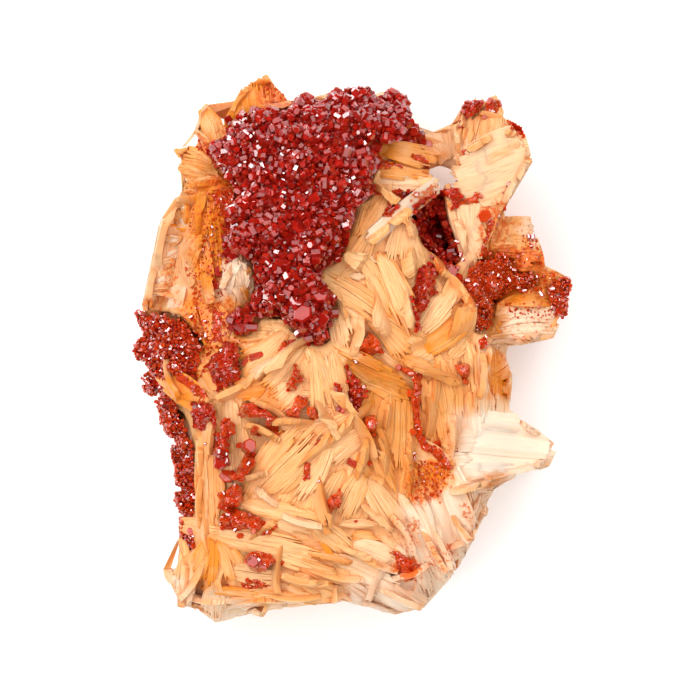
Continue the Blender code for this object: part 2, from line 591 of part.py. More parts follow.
def scaled(outline, share):
    """The outline drawn toward the mean of its points."""
    centre = Vector((sum(p[0] for p in outline), sum(p[1] for p in outline))) / len(outline)
    return [tuple(centre + (Vector(point) - centre) * share) for point in outline]


def flank_blade(name, root, along, outward, length, width):
    """A roof-shaped blade on the side of the stone, its lower face sunk in it."""
    along = Vector(along).normalized()
    outward = (Vector(outward) - along * Vector(outward).dot(along)).normalized()
    across = outward.cross(along)
    rings = []
    for share, lift, narrow in SHEAF_ENDS:
        middle = Vector(root) + along * (length * (share - 0.5))
        half = width * narrow / 2
        ring = []
        for side, rise in FLANK_SECTION:
            reach = rise * FLANK_STAND * lift if rise > 0 else rise
            ring.append(tuple(middle + across * (side * half) + outward * reach))
        rings.append(ring)
    return loft(name, rings)


def flank_blades():
    """Blades round the sides, between the cut underside and the rim, each leaning its own way."""
    chance = random.Random(SEED + 1)
    count = len(BODY_OUTLINE)
    blades = []
    for place in range(FLANK_BLADES):
        at = place * count / FLANK_BLADES
        first = Vector(BODY_OUTLINE[int(at) % count])
        second = Vector(BODY_OUTLINE[(int(at) + 1) % count])
        spot = first.lerp(second, at % 1)
        height = chance.uniform(*FLANK_HEIGHTS)
        inset = FLANK_UNDERCUT * (1 - height / RIM_HEIGHT) ** FLANK_CURVE + FLANK_INSET
        x, y = drawn_in(spot, inset)
        outward = Vector((x - BODY_CENTRE[0], y - BODY_CENTRE[1], FLANK_DOWNWARD))
        tangent = Vector((-outward.y, outward.x, 0)).normalized()
        along = tangent * chance.choice((-1, 1)) + Vector((0, 0, chance.uniform(*FLANK_RISE)))
        length = min(chance.uniform(*FLANK_LENGTHS), FLANK_REACH * height)
        width = chance.uniform(*FLANK_WIDTHS)
        blades.append(flank_blade("flank", (x, y, height), along, outward, length, width))
    return blades


def knob_solid():
    """The pale knob of blades in the bay of the main cluster."""
    return sheaf_solid("knob", KNOB_FROM, KNOB_TO, KNOB_WIDTH, KNOB_LIFT)


def group_crystals(rows, allowance=0.0):
    """The crystals of one group, or the sockets that they sit in when an allowance is given."""
    solids = []
    for (x, y), *height, radius, stand, lean in rows:
        ground = height[0] if height else crown_height(x, y) + GROUP_LIFT
        axis = Vector((lean[0], lean[1], 1.0)).normalized()
        foot = Vector((x, y, ground)) - axis * (GROUP_SINK + allowance)
        length = GROUP_SINK + stand + 2 * allowance
        side = radius + allowance / math.cos(math.pi / 6)
        solids.append(crystal("crystal", foot, axis, side, length, x + y))
    return solids


def vein_crystals(row, allowance=0.0):
    """Long crystals laid end to end along a crack, or their sockets."""
    route, radius, stand = row
    solids = []
    for (ax, ay), (bx, by) in zip(route, route[1:]):
        first = Vector((ax, ay, crown_height(ax, ay) + stand))
        last = Vector((bx, by, crown_height(bx, by) + stand))
        along = (last - first).normalized()
        reach = (last - first).length + 2 * (VEIN_OVERLAP + allowance)
        side = radius + allowance / math.cos(math.pi / 6)
        solids.append(crystal("crystal", first - along * (VEIN_OVERLAP + allowance), along, side, reach))
    return solids


def cleft_lining():
    """The crust of dark crystals in the cleft, open at the top."""
    chance = random.Random(SEED + 2)
    lining = column("lining", CLEFT, CLEFT_FLOOR, CLEFT_LINING_TOP)
    inner = scaled(CLEFT, CLEFT_INNER)
    crystals = []
    for x, y in inner[::2] + scaled(CLEFT, CLEFT_HEART)[1::3]:
        lean = [chance.uniform(-CLEFT_CRYSTAL_LEAN, CLEFT_CRYSTAL_LEAN) for _ in range(2)]
        radius = chance.uniform(*CLEFT_CRYSTAL_RADII)
        length = chance.uniform(*CLEFT_CRYSTAL_LENGTHS)
        crystals.append(crystal("crystal", (x, y, CLEFT_CRYSTAL_FOOT), (*lean, 1.0), radius, length, x))
    combine(lining, [column("hollow", inner, CLEFT_FLOOR + CLEFT_LINING, SKY)], "DIFFERENCE")
    combine(lining, crystals, "UNION")
    return combine(lining, [column("clip", CLEFT, CLEFT_FLOOR, CLEFT_LINING_TOP)], "INTERSECT")


def main():
    clear_scene()
    matrix = body_solid("barite_matrix")
    combine(matrix, [plate_solid(name, **sizes) for name, sizes in PLATES.items()], "UNION")
    swelling = main_cluster_ground()
    crusts = {name: crust(swelling if "main" in name else matrix, name) for name in CRUST_CRYSTALS}
    bpy.data.objects.remove(swelling, do_unlink=True)
    crusts["vanadinite_cleft_crust"] = cleft_lining()
    sheaves = [sheaf_solid("sheaf", *row) for row in SHEAVES]
    combine(matrix, sheaves + [knob_solid()] + flank_blades(), "UNION")
    simplified(matrix, MATRIX_DETAIL)
    combine(matrix, [column("saw", SAW_CUT, SAW_REACH, 0.0)], "DIFFERENCE")
    combine(matrix, [column("gap", THROUGH_GAP, SAW_REACH, SKY)], "DIFFERENCE")
    for outline, floor in POCKETS.values():
        combine(matrix, [column("pocket", grown(outline, SEAT_GAP), floor - SEAT_GAP, SKY)], "DIFFERENCE")
    for make, table in [(group_crystals, GROUPS), (vein_crystals, VEINS)]:
        for name, row in table.items():
            combine(matrix, make(row, SEAT_GAP), "DIFFERENCE")
            solids = make(row)
            as_node(combine(solids[0], solids[1:], "UNION"), name)
    as_node(matrix, "barite_matrix")
    for name, thing in crusts.items():
        as_node(thing, name)


main()
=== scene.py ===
"""Dresses a vanadinite specimen: red six-sided crystals on a stone of peach barite blades.

Sizes in the tables are millimetres in the stone's own frame. Lengths in meshes are metres.
"""

import math
import random

import bpy
import numpy as np
from bpy.props import FloatProperty, FloatVectorProperty, IntProperty, PointerProperty
from mathutils import Matrix, Vector, noise
from mathutils.bvhtree import BVHTree


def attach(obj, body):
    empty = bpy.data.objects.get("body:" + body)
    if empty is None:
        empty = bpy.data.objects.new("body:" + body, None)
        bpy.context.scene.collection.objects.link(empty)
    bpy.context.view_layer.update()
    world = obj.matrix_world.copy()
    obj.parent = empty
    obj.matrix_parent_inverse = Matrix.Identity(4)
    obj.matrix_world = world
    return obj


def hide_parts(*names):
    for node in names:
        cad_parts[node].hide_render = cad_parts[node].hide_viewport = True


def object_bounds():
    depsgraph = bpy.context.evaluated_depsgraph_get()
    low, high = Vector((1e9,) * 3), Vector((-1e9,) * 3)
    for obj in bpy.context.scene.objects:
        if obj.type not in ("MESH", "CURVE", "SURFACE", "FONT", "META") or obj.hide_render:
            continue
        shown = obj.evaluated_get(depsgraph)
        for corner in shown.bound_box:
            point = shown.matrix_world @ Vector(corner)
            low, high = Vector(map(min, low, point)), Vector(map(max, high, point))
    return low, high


bl_info = {
    "name": "Vanadinite Specimen",
    "version": (1, 0, 0),
    "blender": (4, 5, 0),
    "location": "3D View > Sidebar > Specimen",
    "description": "Grows barite blades and vanadinite crystals over the specimen's solids",
    "category": "Object",
}

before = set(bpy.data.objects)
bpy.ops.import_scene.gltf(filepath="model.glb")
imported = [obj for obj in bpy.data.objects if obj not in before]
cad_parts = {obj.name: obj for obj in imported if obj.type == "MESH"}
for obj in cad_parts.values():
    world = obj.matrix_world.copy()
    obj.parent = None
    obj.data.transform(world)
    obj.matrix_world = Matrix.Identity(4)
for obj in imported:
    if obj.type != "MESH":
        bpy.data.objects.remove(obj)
CAD_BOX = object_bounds()

MM = 0.001
ROOT = "root"
MATRIX = "barite_matrix"
MAIN_CLUSTER = "vanadinite_main_cluster"
LEFT_DRUSE = "vanadinite_left_druse"
RIGHT_DRUSE = "vanadinite_right_druse"
SLAB_DRUSE = "vanadinite_slab_druse"
CLEFT_CRUST = "vanadinite_cleft_crust"
CRUSTS = (MAIN_CLUSTER, LEFT_DRUSE, RIGHT_DRUSE, SLAB_DRUSE, CLEFT_CRUST)
GROUP_NODES = sorted(set(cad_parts) - set(CRUSTS) - {MATRIX})

# How a sheaf is coloured: orange body, cream body, brown body, orange edges, and light or dark.
COATS = {
    "peach": (0.08, 0.0, 0.0, 0.32, 0.1),
    "lined": (0.16, 0.0, 0.0, 0.5, 0.0),
    "pale": (0.02, 0.12, 0.0, 0.2, 0.14),
    "white": (0.0, 0.38, 0.0, 0.1, 0.18),
    "chalk": (0.0, 0.9, 0.0, 0.0, 0.35),
    "rim": (0.1, 0.05, 0.0, 0.9, 0.25),
    "orange": (0.62, 0.0, 0.0, 0.8, 0.1),
    "amber": (1.0, 0.0, 0.25, 1.0, -0.3),
    "glass": (1.0, 0.0, 0.55, 1.0, -0.3),
    "brown": (0.25, 0.0, 0.45, 0.6, -0.3),
    # The shade coat is painted shade: darker, browner blades for sheaves that lie in shadow.
    "shade": (0.15, 0.0, 0.15, 0.4, -0.4),
}

# Sheaves of blades: root, tip, width, lift over the stone, shape and coat. Later ones lie higher.
CROWN_SHEAVES = [
    # Between the main cluster and the cleft.
    ((11, 26), (10.5, 16.6), 8.6, 0.5, "fan", "pale"), ((14.6, 17.8), (9, 13.4), 3.2, 0.3, "leaf", "shade"),
    ((1.5, 29), (-2, 18.6), 2.6, 0.4, "leaf", "brown"), ((8, 31.2), (0.8, 18.4), 4.0, 0.9, "leaf", "lined"),
    ((4.4, 23.4), (-0.8, 15), 3.4, 1.0, "leaf", "lined"), ((14.5, 27), (13.4, 18), 3.4, 0.6, "leaf", "pale"),
    ((18, 33), (3.2, 21), 3.8, 1.5, "plate", "chalk"), ((12, 21), (15.4, 12), 3.0, 0.6, "leaf", "peach"),
    ((5, 42.5), (13, 40.4), 2.6, 0.6, "leaf", "orange"), ((4.6, 40.4), (18, 37.2), 4.0, 1.1, "leaf", "orange"),
    # The white sheaf from (4.4, 32.8) to (16.4, 32.2) is a painted highlight along the orange sheaves above it.
    ((3.6, 35.4), (16.6, 34.2), 3.6, 0.9, "leaf", "orange"), ((4.4, 32.8), (16.4, 32.2), 3.0, 1.0, "leaf", "white"),
    # The sheaves that meet in the middle.
    ((-3, 13), (5.5, 3.6), 4.6, 0.3, "leaf", "pale"), ((-8, 16), (13.8, 1.1), 4.8, 0.8, "leaf", "lined"),
    ((0.2, 20.4), (6.4, 9.5), 3.4, 0.9, "leaf", "peach"), ((3, 16), (7.6, 5.6), 2.8, 1.3, "leaf", "rim"),
    ((2.2, 18.6), (5.2, 16.8), 1.4, 1.0, "leaf", "white"), ((-0.4, 14.4), (3.4, 14.2), 1.2, 1.1, "leaf", "white"),
    ((5.2, 19.6), (13.6, 0.8), 4.8, 1.5, "leaf", "rim"), ((-3.4, 9.6), (-0.7, -1), 4.4, 0.9, "leaf", "pale"),
    ((0.2, 7), (2.8, 1.6), 1.9, 1.1, "leaf", "pale"), ((3, 6.8), (12, -1.9), 5.2, 0.8, "fan", "lined"),
    ((-0.4, -2.6), (12.8, -7.9), 4.6, 0.7, "leaf", "brown"), ((1, -5.6), (11.6, -9.8), 3.4, 0.4, "leaf", "shade"),
    ((10.2, -1.4), (17.4, -5.1), 2.6, 1.1, "leaf", "brown"), ((-3.6, 0.6), (8.7, -4.9), 2.3, 1.5, "leaf", "rim"),
    # Below the cleft, towards the right rim.
    ((13.2, 3.2), (20.7, 13.2), 5.2, 0.8, "leaf", "pale"), ((19.4, 4), (24, 9.4), 4.0, 0.5, "leaf", "peach"),
    ((19.4, -2.2), (25.2, 4.6), 3.0, 0.7, "leaf", "peach"), ((14.3, 0.3), (24.2, 8), 4.8, 1.1, "plate", "orange"),
    ((15.3, -1), (23.8, 4), 3.0, 1.3, "leaf", "rim"), ((25.6, 1), (26.9, 6.2), 1.4, 0.8, "leaf", "white"),
    ((28.4, 1), (29.2, -11.6), 4.6, 0.3, "leaf", "white"), ((25.4, 0.4), (26.7, -10.4), 3.4, 0.6, "leaf", "peach"),
    ((22.6, 2.4), (24.3, -10), 3.2, 0.8, "leaf", "lined"), ((20.4, -0.8), (21.2, -21), 3.6, 0.6, "leaf", "peach"),
    ((17, -0.6), (20, -14.8), 3.2, 0.9, "leaf", "lined"), ((16, -5), (18.4, -20.3), 3.8, 0.6, "leaf", "lined"),
    # The rim sheaf from (14.3, -8) to (18, -13.6) is paler along a line of light: painted highlight.
    ((14, -5), (15, -14.4), 2.2, 0.8, "leaf", "brown"), ((14.3, -8), (18, -13.6), 1.7, 1.0, "leaf", "rim"),
    ((23.6, -8), (25.4, -19), 3.8, 0.5, "leaf", "pale"), ((27.6, -8), (26.4, -16), 3.6, 0.3, "leaf", "white"),
    # The curtain under the middle.
    ((5.6, -11), (5, -24.2), 2.8, 0.5, "leaf", "lined"), ((11, -8.6), (10.6, -27.4), 3.0, 0.6, "leaf", "lined"),
    ((8, -8), (6.2, -22.4), 3.6, 0.9, "leaf", "peach"), ((9.4, -9), (8.6, -25.4), 3.0, 1.1, "leaf", "peach"),
    ((3.6, -17.4), (9, -29), 3.2, 0.9, "leaf", "lined"), ((1.4, -12.2), (5, -8.2), 1.6, 0.8, "leaf", "brown"),
    ((-0.6, -1), (2.4, -12), 3.0, 0.2, "leaf", "shade"), ((-3.6, 0.2), (-0.4, -13.2), 3.2, 0.9, "leaf", "peach"),
    ((-6.2, 1.2), (-2.6, -13.8), 3.8, 0.7, "leaf", "pale"),
    ((12.6, -19.2), (18.6, -23.8), 4.4, 1.0, "plate", "white"),
    # Fans below the tongue.
    ((-8.5, 0.8), (-17, -9.4), 7.0, 0.7, "fan", "rim"), ((-7.5, 0.7), (-4.6, -14), 5.6, 0.9, "fan", "peach"),
    ((-12, 3.8), (-21.7, -3.8), 5.4, 0.8, "fan", "rim"), ((-16.6, -7.6), (-24.5, -7.8), 4.2, 0.9, "leaf", "amber"),
    ((-14.6, 3.4), (-19.6, 3.6), 3.6, 0.4, "leaf", "peach"), ((-10, -6), (-15.4, -12.4), 5.0, 0.4, "leaf", "pale"),
    # The long sheaves of the middle left.
    ((-3.6, -12.4), (-13.6, -12.6), 4.6, 0.2, "leaf", "pale"), ((4.8, -10), (-5.6, -19.7), 2.2, 1.0, "leaf", "brown"),
    ((1.2, -12.4), (-7.2, -18.2), 3.2, 0.8, "leaf", "peach"), ((3.2, -15.8), (-6.2, -23.2), 4.4, 0.9, "leaf", "pale"),
    ((-21.4, -29.6), (-8.3, -13.6), 5.0, 0.9, "leaf", "lined"),
    ((-18.8, -29.4), (-5.3, -16.4), 4.4, 1.2, "leaf", "peach"),
    ((-14.2, -28.8), (-6.8, -19.4), 2.8, 1.0, "leaf", "shade"),
    ((-4, -17.6), (-11.8, -30.2), 5.2, 1.3, "leaf", "pale"),
    ((-22.8, -30.4), (-4.8, -34.4), 3.4, 1.0, "leaf", "peach"),
    ((-18, -33.2), (-4.8, -36.2), 3.6, 0.7, "leaf", "pale"),
    ((-30.2, -36), (-4.8, -41.2), 4.8, 1.1, "leaf", "rim"),
    # Left edge.
    ((-31.4, -13.6), (-30.8, -33.4), 2.4, 0.4, "leaf", "peach"),
    ((-29.4, -18.6), (-29, -34.4), 2.0, 0.7, "leaf", "white"),
    ((-27.2, -18.6), (-27, -36), 4.2, 0.8, "leaf", "rim"), ((-23.6, -20), (-22.8, -30), 3.6, 0.4, "leaf", "pale"),
    ((-24, -9), (-22.6, -20), 3.8, 0.3, "leaf", "pale"), ((-29.2, 10.4), (-22.8, -1.4), 5.2, 0.7, "leaf", "orange"),
    ((-31.2, -0.4), (-23.8, -9.2), 4.6, 0.6, "leaf", "orange"),
    ((-33.6, 9.6), (-31.6, 0), 4.2, 0.5, "leaf", "orange"),
    ((-28, 32), (-31.2, 19.4), 4.6, 0.8, "leaf", "orange"), ((-27.4, 32), (-25, 14.4), 4.4, 1.0, "leaf", "amber"),
    ((-29.6, 22), (-28.6, 9.6), 4.0, 0.7, "leaf", "orange"), ((-24.8, 21), (-20.4, 9.4), 3.0, 0.5, "leaf", "orange"),
    ((-22, 12), (-15.6, 4.6), 4.6, 0.4, "leaf", "peach"), ((-36.6, -5.8), (-29.4, -10.4), 5.0, 0.9, "plate", "glass"),
    # The bottom, left to right.
    ((-31, -38.6), (-33.7, -52.6), 3.8, 0.7, "leaf", "white"), ((-27, -46.6), (-27, -54), 4.6, 0.6, "leaf", "pale"),
    ((-33, -46.6), (-32.6, -53), 3.2, 0.5, "leaf", "white"), ((-25.6, -41.6), (-29.7, -50), 3.4, 0.7, "leaf", "pale"),
    ((-24.6, -39), (-21.4, -44), 2.6, 0.9, "leaf", "orange"),
    ((-26.4, -37.6), (-23.4, -46.8), 3.2, 1.1, "leaf", "rim"),
    ((-28, -37.2), (-31.2, -46.8), 3.4, 1.2, "leaf", "orange"),
    ((-27.4, -37.4), (-27.8, -48), 3.2, 1.5, "leaf", "amber"),
    ((-30.4, -47.4), (-15.6, -48.8), 1.8, 0.9, "leaf", "orange"),
    ((-26, -50.2), (-12, -50.6), 3.2, 0.5, "leaf", "shade"),
    ((-25.4, -43.6), (-12, -45.4), 4.0, 0.5, "leaf", "pale"), ((-20, -38.6), (-4, -43.4), 4.2, 0.9, "leaf", "peach"),
    ((-12.4, -41.4), (0.4, -46.8), 4.2, 1.1, "leaf", "lined"),
    ((-10.4, -45.8), (0.8, -49.8), 3.6, 0.8, "leaf", "peach"),
    ((-19, -46.8), (-6, -49), 3.4, 0.6, "leaf", "pale"), ((2.8, -24), (-2.4, -35.4), 4.6, 0.9, "leaf", "peach"),
    ((-1, -23.4), (-6.2, -34.4), 4.4, 0.7, "leaf", "peach"), ((3, -25.4), (12.2, -38.8), 4.8, 1.1, "leaf", "pale"),
    ((-8.2, -33.8), (0.8, -41.4), 4.6, 1.0, "leaf", "peach"),
    ((-6.6, -37.4), (-2.6, -41.6), 1.2, 1.4, "leaf", "amber"),
    ((0, -36.8), (6.4, -37.8), 2.8, 0.8, "leaf", "lined"), ((-3, -34.6), (6.2, -34.6), 1.8, 0.9, "leaf", "pale"),
    ((-0.2, -38.8), (9.7, -42.7), 4.6, 1.0, "leaf", "white"),
    ((-4.2, -40.8), (10.2, -47.6), 4.4, 1.2, "leaf", "white"),
    ((5.8, -29.4), (13, -42.2), 3.2, 0.6, "leaf", "pale"), ((9.3, -28.4), (16, -41.4), 3.2, 0.7, "leaf", "white"),
    ((12.8, -30.4), (19, -44.2), 3.4, 0.6, "leaf", "white"), ((16, -28.6), (21.4, -42.4), 4.2, 0.8, "plate", "white"),
    ((10.8, -33), (17, -46.4), 3.0, 0.9, "leaf", "white"), ((12, -38.6), (16.6, -50.4), 3.6, 0.5, "leaf", "white"),
    ((4, -46.4), (12, -52), 4.6, 0.5, "plate", "white"), ((18.6, -24.6), (23.6, -36), 4.6, 0.7, "plate", "white"),
    ((-1, -46.8), (7.6, -51.6), 4.2, 0.4, "plate", "white"), ((1.6, -20.2), (3.6, -26), 2.6, 0.2, "leaf", "brown"),
]
# Sheaves on the plates, the fins, the slabs and the knob.
PLATE_SHEAVES = [
    ((-21.8, 42), (-23.2, 50.2), 5.4, 0.3, "leaf", "amber"), ((-17.4, 43), (-19.4, 53.8), 5.6, 0.5, "leaf", "amber"),
    ((-14.6, 45), (-15.8, 53.6), 4.0, 0.3, "leaf", "orange"), ((-25, 39), (-27.2, 46.4), 4.2, 0.5, "leaf", "orange"),
    ((-26.6, 42), (-29.6, 48), 3.4, 0.5, "plate", "orange"), ((-27.6, 36.6), (-33.8, 38.8), 4.6, 0.4, "fan", "lined"),
    ((-28, 34.4), (-34.6, 36.2), 2.4, 0.7, "leaf", "brown"),
    ((-28.4, 38.4), (-29.6, 43.6), 1.6, 0.8, "leaf", "white"),
    ((-26, 33), (-33, 32.6), 3.4, 0.3, "leaf", "brown"), ((-33, 24), (-33.6, 31), 3.4, 0.3, "leaf", "orange"),
    ((-36, 12), (-35, 24), 4.8, 0.3, "leaf", "pale"), ((-39, 12), (-37.6, 22), 3.2, 0.3, "leaf", "white"),
    ((-32, 12), (-32.4, 21), 3.8, 0.6, "leaf", "pale"), ((-34, 13), (-35.6, 6.6), 3.2, 0.8, "plate", "chalk"),
    ((-41, 12.4), (-40.6, 6.4), 3.0, 0.4, "leaf", "brown"), ((-40, -0.4), (-42.4, -3.2), 2.4, 0.6, "leaf", "orange"),
    ((16.6, 38.4), (13, 42.4), 4.0, 0.2, "plate", "pale"), ((19.6, 37.6), (16.6, 42.6), 4.4, 0.3, "plate", "pale"),
    ((11.6, 31.9), (17.9, 33.3), 2.4, 0.9, "leaf", "pale"), ((23.4, 34.4), (19.3, 35.9), 2.8, 0.5, "leaf", "pale"),
    ((21.2, 36), (20.2, 45.2), 2.2, 0.6, "leaf", "peach"), ((21.8, 38), (23.6, 48), 3.4, 0.5, "leaf", "lined"),
    ((23.4, 38.4), (25.9, 48), 3.4, 0.7, "leaf", "lined"), ((26.4, 40), (28, 48.6), 3.4, 0.8, "leaf", "rim"),
    ((29, 40), (30.4, 47), 3.4, 0.6, "leaf", "pale"), ((31, 39), (33.2, 43.6), 3.4, 0.5, "leaf", "pale"),
    ((20.4, 30), (32, 33), 5.4, 0.6, "plate", "pale"), ((21, 32.4), (34.4, 36.6), 5.6, 0.8, "plate", "white"),
    ((21.6, 35), (34.4, 39.8), 5.4, 0.9, "plate", "white"), ((22.6, 37.6), (33.4, 42.4), 4.6, 1.1, "plate", "white"),
    ((25.6, 30), (27.4, 18.6), 5.0, 0.3, "leaf", "white"), ((21.6, 29.6), (25.0, 16.6), 5.6, 0.6, "leaf", "white"),
    ((22.8, 19.6), (24.8, 15.2), 3.0, 0.4, "leaf", "pale"), ((28, 27), (29.4, 17.6), 3.2, 0.6, "leaf", "orange"),
    ((29, 24), (36.4, 24.2), 4.2, 0.4, "plate", "pale"), ((28.6, 20.4), (36.8, 21), 4.4, 0.3, "leaf", "orange"),
    ((28.6, 17.4), (38.4, 17.6), 3.4, 0.4, "leaf", "brown"), ((29, 14.4), (41.2, 14.4), 3.0, 0.4, "leaf", "orange"),
    ((28.6, 11), (41, 10.4), 4.8, 0.4, "plate", "orange"), ((28.6, 6.6), (42.2, 6.8), 4.6, 0.4, "leaf", "white"),
    ((28.4, 3.2), (41, 4), 4.2, 0.5, "leaf", "white"), ((26.8, 8.6), (29.6, 3.4), 3.4, 0.7, "leaf", "brown"),
    ((27, 1.8), (33, 2), 2.6, 0.6, "leaf", "peach"), ((27, 14.4), (29.2, 14), 1.6, 0.8, "leaf", "white"),
    ((20.6, -14), (34, -15.6), 5.0, 0.3, "plate", "chalk"),
    ((21.4, -17.6), (40.6, -19.4), 5.6, 0.4, "plate", "chalk"),
    ((21.6, -21.6), (38.6, -21.6), 4.4, 0.3, "plate", "chalk"),
    ((21.6, -24.6), (33, -24.8), 3.6, 0.2, "plate", "chalk"),
    # The knob in the bay of the cluster.
    ((-24.6, 10.6), (-23.4, 17.6), 3.6, 1.0, "leaf", "chalk"), ((-22, 11), (-21.6, 16.6), 3.4, 1.3, "leaf", "pale"),
    ((-20.2, 11), (-20, 16), 2.6, 0.9, "leaf", "brown"), ((-23.8, 14), (-22.4, 18.4), 3.4, 1.7, "leaf", "chalk"),
]
# Stacked blade ends at the left edge: where the stack starts and ends, its reach to the left, and
# the coats that its blades take in turn.
# The shade coat among these makes some blade ends darker as painted shade.
BLADE_STACK = dict(low=(-36.6, 10.4), high=(-30.2, 34), reach=4.4, blades=26,
                   coats=("chalk", "brown", "pale", "amber", "chalk", "shade"))
